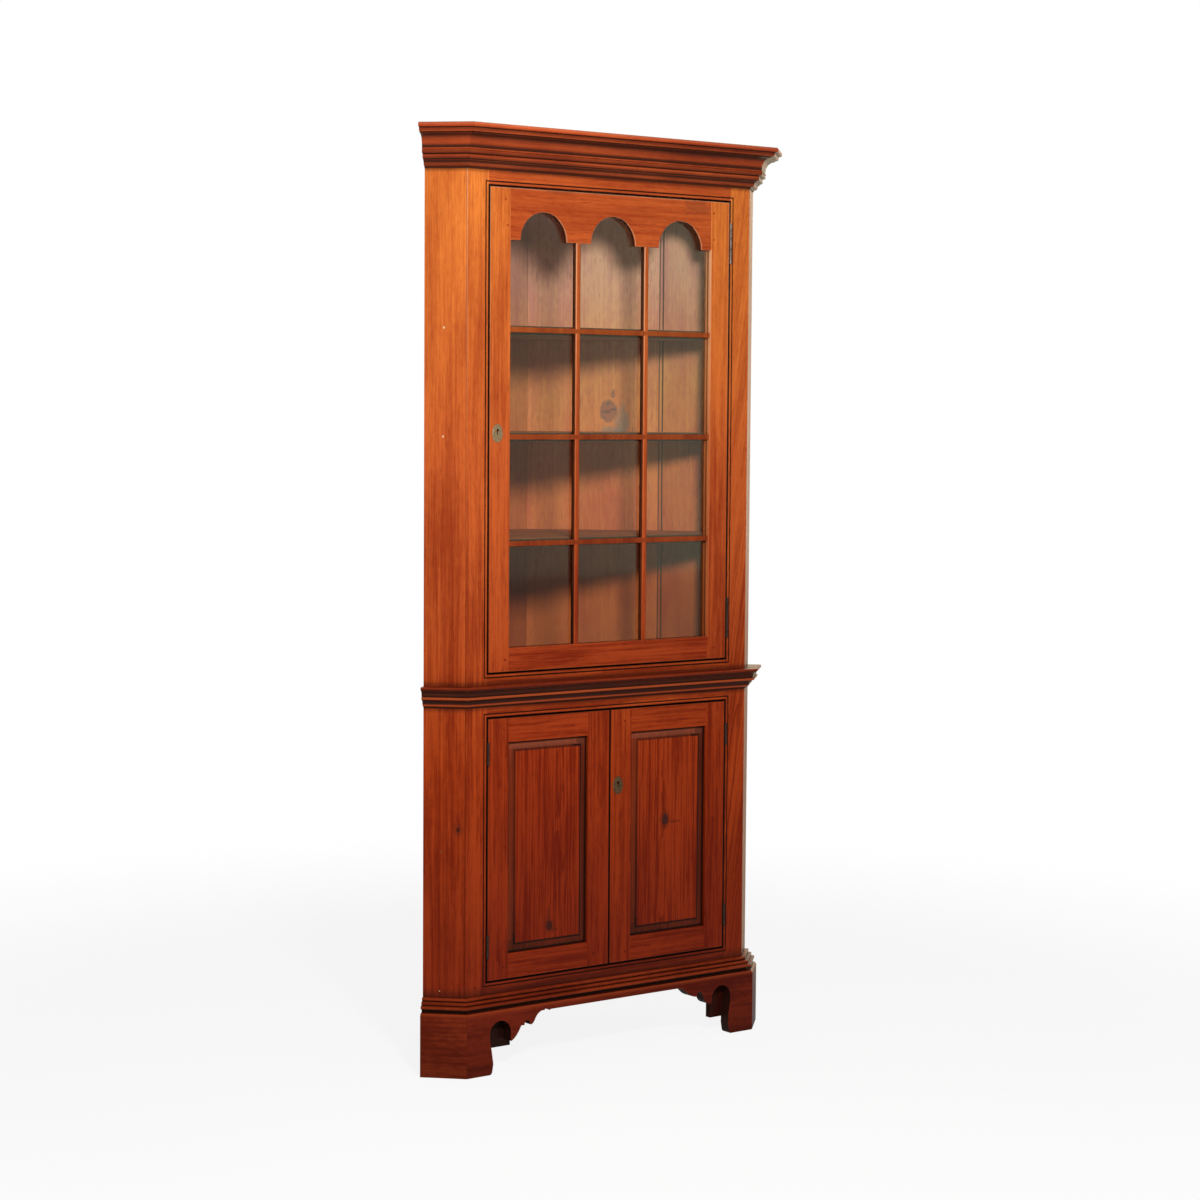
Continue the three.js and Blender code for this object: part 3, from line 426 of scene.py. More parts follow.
mouldingLook = {**pineLook, "tones": mouldingTones, "wander": 0.02, "waxAndShadeColour": (0.019, 0.0065, 0.0042)}
corniceLook = {
    **mouldingLook, "profileSpan": (2.039, 2.134), "clouds": 1.7, "waxAndShadeColour": (0.036, 0.011, 0.0065),
    "profile": profileLines(2.039, 0.095, [
        (0.0, 1.0), (0.035, 0.9), (0.055, 0.6), (0.1, 0.55), (0.165, 0.55), (0.185, 0.7), (0.2, 1.0),
        (0.215, 0.75), (0.245, 0.6), (0.275, 0.2), (0.295, 0.5), (0.305, 1.0), (0.32, 0.75), (0.37, 0.65),
        (0.4, 0.35), (0.43, 0.2), (0.447, 0.5), (0.457, 1.0), (0.5, 0.5), (0.55, -0.1), (0.66, -0.1),
        (0.735, 0.5), (0.768, 1.0), (0.785, 0.75), (0.8, 0.35), (0.83, 0.72), (0.855, 0.7), (0.884, 1.0),
        (0.9, 0.2), (0.95, -0.1), (1.0, -0.2)]),
}
waistLook = {
    **mouldingLook, "profileSpan": (0.837, 0.886), "clouds": 1.4,
    "profile": profileLines(0.837, 0.049, [
        (0.0, 1.0), (0.04, 0.8), (0.07, -0.2), (0.12, -0.8), (0.165, -0.1), (0.21, 1.0), (0.25, 0.85),
        (0.31, 0.5), (0.36, 0.7), (0.395, 0.7), (0.415, -0.6), (0.45, -1.0), (0.475, 0.1), (0.49, -0.9),
        (0.525, -0.4), (0.545, 0.7), (0.58, 1.0), (0.62, 0.6), (0.69, 0.5), (0.72, 0.95), (0.76, 0.4),
        (0.84, 0.35), (0.875, 1.0), (0.9, 0.5), (0.95, 0.25), (1.0, -0.2)]),
}
baseLook = {
    **mouldingLook, "streaks": 1.3, "bands": 0.6, "clouds": 2.2, "mottle": 1.0,
    "profileSpan": (0.12, 0.178),
    "profile": [
        (0.12, 0.0), (0.136, 0.0), (0.14, -0.2), (0.1452, -0.9), (0.1462, 1.0), (0.153, 1.0),
        (0.1542, 0.4), (0.156, -0.1), (0.16, -0.3), (0.1612, -0.1), (0.1622, 0.85), (0.1632, 0.2),
        (0.167, 0.0), (0.1692, -0.3), (0.17, 0.75), (0.1708, 0.75), (0.1718, 0.1), (0.175, 0.0),
        (0.178, -0.4)],
}
frameLook = {
    **pineLook, "shadeBands": [(0.178, 0.026), (0.837, 0.014), (0.888, 0.012), (2.039, 0.01)],
    "shadeLines": doorShadeLines, "highlightWearAndDustLines": doorHighlightsAndWear, "highlightAndWearFade": (1.0, 1.8, 0.12), "knots": frameKnots,
}
panelLook = {
    **pineLook, "streaks": 2.6, "rings": 0.55, "knots": panelKnots, "shadeLines": panelShadeLines,
    # the tones are grey dust on the bevels, and the tone at 0.735 is a painted highlight on the top bevel
    "highlightWearAndDustLines": panelDustAndHighlight, "highlightWearAndDustTones": [(0.1, (0.115, 0.042, 0.018)), (0.7, (0.13, 0.05, 0.022)),
                                           (0.735, (0.3, 0.088, 0.046))],
}
framePine = pineMaterial("framePine", frameLook)
cornicePine = pineMaterial("cornicePine", corniceLook)
waistPine = pineMaterial("waistPine", waistLook)
basePine = pineMaterial("basePine", baseLook)
panelPine = pineMaterial("panelPine", panelLook)
backPine = pineMaterial("backPine", backLook)
shelfLook = {name: value for name, value in backLook.items() if name not in ("quirks", "knots")}
shelfPine = pineMaterial("shelfPine", shelfLook)
print("pine materials made")


# Metal and glass

def metalMaterial(name, look):
    material, m = newMaterial(name)
    place = m.node("TexCoord", output="Object")
    tarnish = m.noise(place, (190.0, 190.0, 190.0), 4.0, 0.6)
    scratches = m.noise(place, (900.0, 900.0, 160.0), 2.0)
    patch = tarnish.between(0.38, 0.66)
    colour = m.blend(patch, (*look["bright"], 1), (*look["dull"], 1))
    rough = look["rough"] + patch * 0.22 + (scratches - 0.5) * 0.12
    relief = tarnish + scratches * 0.4
    bump = m.node("Bump", None, {"Strength": 0.2, "Distance": 0.0002, "Height": relief})
    metal = look["metal"] - patch * look["metal"] * 0.35
    values = {"Base Color": colour, "Roughness": rough, "Metallic": metal, "Normal": bump}
    m.show(m.node("BsdfPrincipled", None, values))
    return material


metalLooks = {
    "agedBrass": {"bright": (0.46, 0.31, 0.155), "dull": (0.23, 0.165, 0.09), "rough": 0.3, "metal": 0.68},
    "darkBrass": {"bright": (0.18, 0.1, 0.04), "dull": (0.065, 0.033, 0.014), "rough": 0.4, "metal": 0.75},
    "wornSteel": {"bright": (0.21, 0.155, 0.13), "dull": (0.08, 0.048, 0.036), "rough": 0.45, "metal": 0.8},
    "darkIron": {"bright": (0.055, 0.036, 0.027), "dull": (0.02, 0.012, 0.009), "rough": 0.5,
                 "metal": 0.85},
}
brass, darkBrass, steel, iron = (metalMaterial(name, look) for name, look in metalLooks.items())


glassLook = {"waves": (7.0, 7.0, 4.0), "bump": 0.35, "depth": 0.001, "gloss": (0.8, 0.95, 0.82, 1),
             "rough": 0.04, "tint": (0.975, 0.985, 0.965, 1), "ior": 1.45}


def glassMaterial(look):
    material, m = newMaterial("windowGlass")
    waves = m.noise(m.node("TexCoord", output="Object"), look["waves"], 1.0)
    bump = m.node("Bump", None, {"Strength": look["bump"], "Distance": look["depth"], "Height": waves})
    mirrorValues = {"Color": look["gloss"], "Roughness": look["rough"], "Normal": bump}
    mirror = m.node("BsdfAnisotropic", None, mirrorValues)
    clear = m.node("BsdfTransparent", None, {"Color": look["tint"]})
    edge = m.node("Fresnel", None, {"IOR": look["ior"]})
    m.show(m.node("MixShader", None, {0: edge, 1: clear, 2: mirror}))
    return material


glass = glassMaterial(glassLook)
print("metal and glass made")


# Pieces

def deselectAll():
    bpy.ops.object.select_all(action="DESELECT")


def useMode(mode):
    bpy.ops.object.mode_set(mode=mode)


def addToScene(thing):
    bpy.context.scene.collection.objects.link(thing)


def activate(piece):
    deselectAll()
    piece.select_set(True)
    bpy.context.view_layer.objects.active = piece


def shapedCopy(node, rounds=()):
    source = nodes[node]
    activate(source)
    bpy.ops.object.duplicate()
    piece = bpy.context.object
    piece.name = node + "_shaped"
    piece.data.name = piece.name
    body = piece["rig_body"]
    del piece["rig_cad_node"]
    useMode("EDIT")
    bpy.ops.mesh.select_all(action="SELECT")
    bpy.ops.mesh.remove_doubles(threshold=0.000002)
    bpy.ops.mesh.dissolve_limited(angle_limit=radians(0.5))
    useMode("OBJECT")
    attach(piece, body)
    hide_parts(node)
    for wanted, width, segments in rounds:
        roundEdges(piece, wanted, width, segments)
    return piece


def pickNothing(piece, mode):
    activate(piece)
    bpy.context.tool_settings.mesh_select_mode = mode
    for group in (piece.data.vertices, piece.data.edges, piece.data.polygons):
        for item in group:
            item.select = False


def pickFaces(piece, wanted):
    pickNothing(piece, (False, False, True))
    for face in piece.data.polygons:
        face.select = wanted(face)


def pickEdges(piece, wanted):
    pickNothing(piece, (False, True, False))
    for edge in piece.data.edges:
        a, b = (piece.data.vertices[i].co for i in edge.vertices)
        edge.select = wanted(a, b)


def roundEdges(piece, wanted, width, segments):
    pickEdges(piece, wanted)
    useMode("EDIT")
    bpy.ops.mesh.bevel(offset=width, segments=segments, affect="EDGES", clamp_overlap=True)
    useMode("OBJECT")


def soften(piece, width, segments=2, angle=38):
    activate(piece)
    bevel = piece.modifiers.new("soften", "BEVEL")
    bevel.width = width
    bevel.segments = segments
    bevel.limit_method = "ANGLE"
    bevel.angle_limit = radians(angle)
    bpy.ops.object.modifier_apply(modifier="soften")
    bpy.ops.object.shade_smooth_by_angle(angle=radians(angle))
    piece.modifiers.new("even", "WEIGHTED_NORMAL").keep_sharp = True
    bpy.ops.object.modifier_apply(modifier="even")


def edgeBroadFaces(piece, width, area):
    pickFaces(piece, lambda face: face.area > area and abs(face.normal.z) < 0.2)
    useMode("EDIT")
    bpy.ops.mesh.inset(thickness=width, use_individual=True)
    useMode("OBJECT")


def dress(piece, material):
    piece.data.materials.clear()
    piece.data.materials.append(material)


creaseLook = {"shortest": 0.003, "fullTurn": radians(40)}


def creases(mesh, pale):  # darkens the hollows, painted shade with dark waxing, and pales the arrises, worn edges with painted highlight
    faces = {}
    for face in mesh.polygons:
        for key in face.edge_keys:
            faces.setdefault(key, []).append(face)
    found = [0.0] * len(mesh.vertices)
    for (a, b), pair in faces.items():
        length = (mesh.vertices[a].co - mesh.vertices[b].co).length
        if len(pair) == 2 and length > creaseLook["shortest"]:
            turn = pair[0].normal.angle(pair[1].normal, 0.0) / creaseLook["fullTurn"]
            isHollow = (pair[1].center - pair[0].center).dot(pair[0].normal) > 0
            amount = min(turn, 1.0) if isHollow else -pale * min(turn, 1.0)
            for v in (a, b):
                if abs(amount) > abs(found[v]):
                    found[v] = amount
    return found


def layGrain(piece, pick, shadingAndWear=None, pale=None):
    mesh = piece.data
    kinds = {"grain": "FLOAT_VECTOR", "board": "FLOAT_VECTOR", "wear": "FLOAT"}
    for name, kind in kinds.items():
        mesh.attributes.new(name, kind, "CORNER")
    grain, board, wear = (mesh.attributes[name] for name in kinds)
    folds = creases(mesh, pale) if pale is not None else [0.0] * len(mesh.vertices)
    for face in mesh.polygons:
        # painted shade and painted highlight, with waxing and worn edges, chosen face by face
        faceShadingAndWear = shadingAndWear(face.center, face.normal) if shadingAndWear else 0.0
        atFront, atBack = faceShadingAndWear if isinstance(faceShadingAndWear, tuple) else (faceShadingAndWear, faceShadingAndWear)  # across a reveal's depth
        along, facing, heart, marks = pick(face.center)
        across = along.cross(facing)
        for loop in face.loop_indices:
            vertex = mesh.vertices[mesh.loops[loop].vertex_index]
            laid = atBack if vertex.co.y > face.center.y else atFront
            wear.data[loop].value = laid if laid else folds[vertex.index]
            gap = vertex.co - heart
            grain.data[loop].vector = (gap.dot(across), gap.dot(facing), gap.dot(along))
            board.data[loop].vector = marks


grainWays = {
    "upright": (up, front), "level": (right, front), "shelf": (right, up),
    "leftReturn": (up, leftSide), "rightReturn": (up, rightSide),
    "leftBack": (-up, rightSide), "rightBack": (up, leftSide),
}
plainBoard = {"heart": 0.0, "deep": 0.07, "tilt": 0.0, "soft": 0.0005, "edge": 0.003}


def board(way, seed, stain, figure, **more):
    return {**plainBoard, "way": way, "marks": (seed, stain, figure), **more}


def boardGrain(piece, look, shadingAndWear=None, pale=None):
    along, facing = grainWays[look["way"]]
    low, high = (Vector(c) for c in (piece.bound_box[0], piece.bound_box[6]))
    along = (along + along.cross(facing) * look["tilt"]).normalized()
    heart = (low + high) / 2 + along.cross(facing) * look["heart"] - facing * look["deep"]
    layGrain(piece, lambda centre: (along, facing, heart, look["marks"]), shadingAndWear, pale)


def finishBoard(node, look, material, slot, rounds=(), shadingAndWear=None, pale=None):
    piece = shapedCopy(node, rounds)
    if "edged" in look:
        edgeBroadFaces(piece, look["edge"], look["edged"])
    soften(piece, look["soft"])
    boardGrain(piece, look, shadingAndWear, pale)
    dress(piece, material)


# Face frame, returns and level boards

frameBoards = {
    "left_frame_stile": board("upright", 1.0, 0.0, 0.6, heart=0.02),
    "right_frame_stile": board("upright", 2.0, 0.0, 1.7, heart=0.05, deep=0.03, tilt=0.14),
    "bottom_frame_rail": board("level", 3.0, 0.25, 0.6),
    "waist_frame_rail": board("level", 4.0, 0.0, 0.6),
    "top_frame_rail": board("level", 5.0, 0.75, 0.6),
    "left_return_board": board("leftReturn", 6.0, 0.0, 0.5, heart=0.03),
    "right_return_board": board("rightReturn", 7.0, 0.0, 0.5),
}
frameEdges = {"openingHalf": 0.3492, "openings": [(0.2055, 0.8125), (0.9105, 2.0065)], "beadWidth": 0.007,
              "beadRound": 0.003, "quirkRound": 0.0018, "cornerRound": 0.0024, "past": 0.0072,
              "mitreFrom": 0.407, "tall": 0.5}


def near(target, *values):
    return all(abs(value - target) < 0.0001 for value in values)


def onFace(a, b):
    return near(faceY, a.y, b.y)


def ringEdge(a, b, grow):
    half = frameEdges["openingHalf"] + grow
    past = frameEdges["past"] - grow
    for bottom, top in frameEdges["openings"]:
        bottom, top = bottom - grow, top + grow
        isSide = near(half, abs(a.x), abs(b.x))
        isInside = min(a.z, b.z) > bottom - past and max(a.z, b.z) < top + past
        if isSide and isInside:
            return True
        for rise in (bottom, top):
            if near(rise, a.z, b.z) and max(abs(a.x), abs(b.x)) < half + 0.0001:
                return True
    return False


def beadEdge(grow):
    return lambda a, b: onFace(a, b) and ringEdge(a, b, grow)


def mitreEdge(a, b):
    isAtMitre = min(abs(a.x), abs(b.x)) > frameEdges["mitreFrom"]
    return onFace(a, b) and isAtMitre and abs(a.z - b.z) > frameEdges["tall"]


# the mitre edge is made pale, worn edge and painted highlight; the reveals of the openings get painted
# shade
frameShadingLook = {"shallow": 0.0012, "openingHalf": 0.3495, "mitreFrom": 0.4066, "mitre": -1.0, "reveal": 0.95}


def frameShadingAndWear(centre, normal):
    deep = centre.y - faceY
    isMitre = abs(centre.x) > frameShadingLook["mitreFrom"] and deep < frameShadingLook["shallow"]
    if isMitre and abs(normal.z) < 0.5:
        return frameShadingLook["mitre"]
    isReveal = abs(centre.x) < frameShadingLook["openingHalf"] and deep > frameShadingLook["shallow"]
    return frameShadingLook["reveal"] if isReveal and abs(normal.y) < 0.3 else 0.0


frameRounds = [(beadEdge(0.0), frameEdges["beadRound"], 4),
               (beadEdge(frameEdges["beadWidth"]), frameEdges["quirkRound"], 3),
               (mitreEdge, frameEdges["cornerRound"], 3)]
for node, look in frameBoards.items():
    finishBoard(node, look, framePine, "frame_pine", frameRounds, frameShadingAndWear)

levelBoards = {
    "bottom_board": board("shelf", 11.0, 0.2, 0.6, deep=0.1),
    "waist_board": board("shelf", 12.0, 0.4, 0.6, deep=0.1),
    "upper_shelf_1": board("shelf", 13.0, 0.7, 0.6, soft=0.0015, deep=0.09),
    "upper_shelf_2": board("shelf", 14.0, 0.7, 0.6, soft=0.0015, deep=0.11),
    "upper_shelf_3": board("shelf", 15.0, 0.7, 0.6, soft=0.0015, deep=0.08),
    "top_board": board("shelf", 16.0, 0.9, 0.6, deep=0.12),
    "back_corner_board": board("upright", 17.0, 0.75, 0.5),
}


# painted shade under the shelves and on their front edges
shelfShadeLook = {"under": 0.6, "front": 1.3}


def shelfShade(centre, normal):
    if normal.z < -0.5:
        return shelfShadeLook["under"]
    return shelfShadeLook["front"] if normal.y < -0.5 else 0.0


for node, look in levelBoards.items():
    wood = (framePine, "frame_pine") if node == "top_board" else (shelfPine, "back_pine")
    finishBoard(node, look, *wood, shadingAndWear=shelfShade if "shelf" in node else None)
print("carcass finished")

backBoards = {"firstSeam": 0.2284, "pitch": 0.207, "soften": 0.0004, "cornerY": 0.52679,
              "heartDeep": 0.09, "figure": 0.7,
              "stains": {"leftBack": (0.0, 0.12, 0.0), "rightBack": (0.0, 0.12, 0.5)}}


def finishBackBoards(node, way, seedStart, sign):
    piece = shapedCopy(node)
    soften(piece, backBoards["soften"])
    along, facing = grainWays[way]
    corner = Vector((0, faceY + backBoards["cornerY"], 0))
    down = Vector((sign, -1, 0)).normalized()
    first, pitch = backBoards["firstSeam"], backBoards["pitch"]

    def pick(centre):
        distance = (centre - corner).dot(down)
        count = 0 if distance < first else 1 + int((distance - first) / pitch)
        heart = corner + down * (first + (count - 0.5) * pitch) - facing * backBoards["heartDeep"]
        stain = backBoards["stains"][way][min(count, 2)]
        return along, facing, heart, (seedStart + count, stain, backBoards["figure"])

    layGrain(piece, pick, pale=0.0)
    dress(piece, backPine)


finishBackBoards("left_back_boards", "leftBack", 21.0, -1)
finishBackBoards("right_back_boards", "rightBack", 25.0, 1)
print("back boards finished")


# Mouldings and feet: the grain turns with each run

runLook = {"faceHalf": 0.408, "slack": 0.0002, "heartRise": 1.0, "figure": 0.7, "soft": 0.0006,
           "footEdge": 0.004, "footBroad": 0.004, "footPale": 0.12, "footHidden": 1.3}
mitreSlope = tan(pi / 8)
runs = {  # seed, stain and material
    "cornice_front": (31.0, 0.1, cornicePine), "cornice_left_return": (32.0, 0.35, cornicePine),
    "cornice_right_return": (33.0, 0.1, cornicePine), "waist_moulding": (34.0, 0.45, waistPine),
    "base_moulding": (37.0, 0.0, basePine), "front_apron": (40.0, 0.6, basePine),
    "left_foot_return": (41.0, 0.0, basePine), "right_foot_return": (42.0, 0.45, basePine),
}


# painted shade on the feet's hidden faces and in their cut-outs
def footShade(centre, normal):
    isShown = max(normal.dot(way) for way in (front, leftSide, rightSide)) > 0.9 or normal.z > 0.3
    return 0.0 if isShown else runLook["footHidden"]


def finishRun(node, seed, stain, material):
    piece = shapedCopy(node)
    isFoot = node.endswith(("apron", "foot_return"))
    if isFoot:
        edgeBroadFaces(piece, runLook["footEdge"], runLook["footBroad"])
    soften(piece, runLook["soft"])
    heart = floorPoint + up * runLook["heartRise"]

    def pick(centre):
        reach = runLook["faceHalf"] + (faceY - centre.y) * mitreSlope - runLook["slack"]
        along, facing, more = right, front, 0
        if centre.x > reach:
            along, facing, more = rightRun, rightSide, 1
        elif centre.x < -reach:
            along, facing, more = leftRun, leftSide, 2
        return along, facing, heart, (seed + more, stain, runLook["figure"])

    layGrain(piece, pick, footShade if isFoot else None, runLook["footPale"] if isFoot else 0.0)
    dress(piece, material)


for node, look in runs.items():
    finishRun(node, *look)
footBlocks = {"left_foot_block": (45.0, 1.3), "right_foot_block": (46.0, 0.95)}  # seed and painted shade, dark inside the feet
for node, (seed, dark) in footBlocks.items():
    look = board("upright", seed, 0.9, 0.5)
    finishBoard(node, look, panelPine, "panel_pine", shadingAndWear=lambda centre, normal: dark)
print("mouldings and feet finished")


# Doors

doorBoards = {
    "upper_door": {
        "lock_stile": board("upright", 51.0, 0.12, 0.7, heart=0.02),
        "hinge_stile": board("upright", 52.0, 0.0, 0.7),
        "arched_rail": board("level", 53.0, 0.75, 0.7, deep=0.05),
        "bottom_rail": board("level", 54.0, 0.45, 0.6),
        "glazing_bars": board("upright", 55.0, 0.35, 0.4),
    },
    "left_door": {
        "hinge_stile": board("upright", 61.0, 0.3, 0.8, heart=0.02),
        "meeting_stile": board("upright", 62.0, 0.35, 0.6),
        "bottom_rail": board("level", 63.0, 0.1, 0.7),
        "top_rail": board("level", 64.0, 0.4, 0.7),
    },
    "right_door": {
        "hinge_stile": board("upright", 65.0, 0.4, 0.7),
        "meeting_stile": board("upright", 66.0, 0.1, 0.8, heart=0.02),
        "bottom_rail": board("level", 67.0, 0.15, 0.7),
        "top_rail": board("level", 68.0, 0.25, 0.7),
    },
}
doorEdges = {"half": 0.3464, "meeting": 0.0014, "levels": (0.2083, 0.8097, 0.9133, 2.0037), "round": 0.0012}


def doorOutline(a, b):
    atSide = any(near(x, abs(a.x), abs(b.x)) for x in (doorEdges["half"], doorEdges["meeting"]))
    atEnd = any(near(z, a.z, b.z) for z in doorEdges["levels"])
    return onFace(a, b) and (atSide or atEnd)


# painted shade on the door edges and the arch reveals, with dark waxing; a painted highlight on the arches'
# front arris; the reveals facing the lamp, right of the arches and on the upper door's right stile, go from
# painted highlight at the front to painted shade at the back
doorShadingLook = {
    "outerHalf": 0.344, "meeting": 0.003, "end": 0.0025, "edgeDepths": (0.0008, 0.0205), "edge": 0.85,
    "archFrom": 1.8868, "archHalf": 0.288, "archEdge": 0.001, "archArris": -0.45, "arch": 1.6,
    "rightOfArch": (-0.9, 2.8), "stileX": 0.29, "stileFrom": 0.9, "rightStile": (-1.1, 1.2),
}


def doorShadingAndWear(centre, normal):
    deep = centre.y - faceY
    fromEnd = min(abs(centre.z - rise) for rise in doorEdges["levels"])
    isAtSide = abs(centre.x) > doorShadingLook["outerHalf"] or abs(centre.x) < doorShadingLook["meeting"]
    isArch = centre.z > doorShadingLook["archFrom"] and abs(centre.x) < doorShadingLook["archHalf"]
    if isArch and -0.95 < normal.y < -0.3 and deep < doorShadingLook["archEdge"]:
        return doorShadingLook["archArris"]
    if isArch and abs(normal.y) < 0.5:
        return doorShadingLook["rightOfArch" if normal.x < -0.6 else "arch"]
    shallow, deepest = doorShadingLook["edgeDepths"]
    isEdge = shallow < deep < deepest and (isAtSide or fromEnd < doorShadingLook["end"])
    if isEdge and abs(normal.y) < 0.5:
        return doorShadingLook["edge"]
    isLitReveal = near(doorShadingLook["stileX"], centre.x) and centre.z > doorShadingLook["stileFrom"]
    return doorShadingLook["rightStile"] if isLitReveal and normal.x < -0.9 else 0.0


# the bars' left slopes get a painted highlight and their right slopes painted shade; their sides are
# darkened
barShadingLook = {"front": 0.1, "leftSlope": -0.5, "rightSlope": 0.4, "side": 0.9}


def barShading(centre, normal):
    if normal.y < -0.9:
        return barShadingLook["front"]
    if normal.y < -0.3:
        return barShadingLook["leftSlope" if normal.x < -0.3 else "rightSlope"]
    return barShadingLook["side"]


for door, boards in doorBoards.items():
    for name, look in boards.items():
        isBar = name == "glazing_bars"
        rounds = [] if isBar else [(doorOutline, doorEdges["round"], 3)]
        shadingAndWear = barShading if isBar else doorShadingAndWear
        finishBoard(door + "_" + name, look, framePine, "frame_pine", rounds, shadingAndWear)
panels = {
    "left_door_panel": board("upright", 71.0, 0.45, 0.8, heart=0.03, deep=0.04, edged=0.02),
    "right_door_panel": board("upright", 72.0, 0.25, 0.8, heart=-0.01, deep=0.05, edged=0.02),
}
for node, look in panels.items():
    finishBoard(node, look, panelPine, "panel_pine", pale=0.25)
print("doors finished")


# Metalwork and glass

metalEdges = {"angle": 32, "leaf": 0.0003, "case": 0.0005, "bolt": 0.0004, "plate": 0.0002}
plateLook = {"dome": 0.0015, "holeRound": 0.0003, "rim": 0.0125}


def finishMetal(node, material, width, rounds=()):
    piece = shapedCopy(node, rounds)
    soften(piece, width, 2, metalEdges["angle"])
    dress(piece, material)


def plateRounds(node):
    low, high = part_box(node)
    middle = (low + high) / 2

    def isOnTop(a, b):
        return near(low.y, a.y, b.y)

    def fromMiddle(point):
        return (Vector((point.x, middle.y, point.z)) - middle).length

    def rimEdge(a, b):
        return isOnTop(a, b) and min(fromMiddle(a), fromMiddle(b)) > plateLook["rim"]

    def holeEdge(a, b):
        return isOnTop(a, b) and max(fromMiddle(a), fromMiddle(b)) < plateLook["rim"]

    return [(rimEdge, plateLook["dome"], 4), (holeEdge, plateLook["holeRound"], 2)]


leaves = [node for node in nodes if "_hinge_" in node and node.endswith("_leaf")]
for node in leaves:
    isBright = node.startswith("upper_door_top")
    finishMetal(node, steel if isBright else iron, metalEdges["leaf"])
plateBrass = {"upper_door": brass, "right_door": darkBrass}
for door, metal in plateBrass.items():
    finishMetal(door + "_lock_case", iron, metalEdges["case"])
    finishMetal(door + "_lock_bolt", brass, metalEdges["bolt"])
    plate = door + "_escutcheon"
    finishMetal(plate, metal, metalEdges["plate"], plateRounds(plate))
pane = nodes["upper_door_glass"]
pane.data.materials.clear()
pane.data.materials.append(glass)
print("metalwork and glass finished")


# Pegs, screws and pins: each is modelled once, facing the front at the origin, and copied to its places

def roundStud(look):
    deselectAll()
    bpy.ops.mesh.primitive_cylinder_add(vertices=look["sides"], radius=look["radius"], depth=look["length"],
                                        location=(0, look["length"] / 2 - look["proud"], 0),
                                        rotation=(pi / 2, 0, 0))
    stud = bpy.context.object
    bpy.ops.object.transform_apply()
    pickFaces(stud, lambda face: face.normal.y < -0.9)
    useMode("EDIT")
    for inset, lift in look["dome"]:
        bpy.ops.mesh.inset(thickness=inset)
        bpy.ops.transform.translate(value=(0, -lift, 0))
    useMode("OBJECT")
    return stud


def cutSlot(stud, look):
    deselectAll()
    bpy.ops.mesh.primitive_cube_add(size=1, location=(0, -look["proud"], 0))
    cutter = bpy.context.object
    cutter.scale = (look["radius"] * 2.4, look["slotDepth"] * 2, look["slotWidth"])
    activate(stud)
    cut = stud.modifiers.new("slot", "BOOLEAN")
    cut.object = cutter
    cut.operation = "DIFFERENCE"
    cut.solver = "EXACT"
    bpy.ops.object.modifier_apply(modifier="slot")
    bpy.data.objects.remove(cutter)


def joinPieces(pieces, name):
    deselectAll()
    for piece in pieces:
        piece.select_set(True)
    bpy.context.view_layer.objects.active = pieces[0]
    bpy.ops.object.transform_apply()
    bpy.ops.object.join()
    joined = bpy.context.object
    joined.name = name
    joined.data.name = name
    return joined


def layCopies(pattern, spots, name, body, slot, material):
    made = []
    for spot in spots:
        piece = pattern.copy()
        piece.data = pattern.data.copy()
        addToScene(piece)
        piece.matrix_world = spot
        made.append(piece)
    joined = joinPieces(made, name)
    bpy.ops.object.shade_smooth_by_angle(angle=radians(38))
    dress(joined, material)
    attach(joined, body)
    return joined


def spotAt(place, heading=0.0, roll=0.0):
    turn = Matrix.Rotation(radians(heading), 4, "Z") @ Matrix.Rotation(radians(roll), 4, "Y")
    return Matrix.Translation(place) @ turn


pegLook = {"sides": 10, "radius": 0.0029, "length": 0.003, "proud": 0.0001,
           "dome": [(0.0006, 0.00012), (0.0012, 0.00004)], "turn": 23, "heartDown": 0.009,
           "seedByHeight": 7.3, "stain": 0.85, "figure": 0.5, "side": 0.9}
pegPlaces = {
    "cabinet": [(-0.379, 0.198), (0.372, 0.195)],
    "upper_door": [(-0.303, 1.977), (-0.298, 1.919), (0.298, 1.975), (0.2985, 1.913), (0.31, 0.94),
                   (-0.3, 0.941)],
    "left_door": [(-0.303, 0.782), (-0.044, 0.781), (-0.3, 0.236), (-0.044, 0.238)],
    "right_door": [(0.044, 0.78), (0.297, 0.782), (0.049, 0.232), (0.304, 0.234)],
}
peg = roundStud(pegLook)
for body, places in pegPlaces.items():
    spots = [spotAt((x, faceY, z), roll=pegLook["turn"] * count) for count, (x, z) in enumerate(places)]
    piece = layCopies(peg, spots, body + "_pegs", body, "frame_pine", framePine)

    def pegGrain(centre):
        nearest = min(spots, key=lambda spot: (spot.translation - centre).length).translation
        marks = (nearest.z * pegLook["seedByHeight"], pegLook["stain"], pegLook["figure"])
        return front, up, nearest - up * pegLook["heartDown"], marks

    layGrain(piece, pegGrain, lambda centre, normal: pegLook["side"] if normal.y > -0.8 else 0.0)
bpy.data.objects.remove(peg)

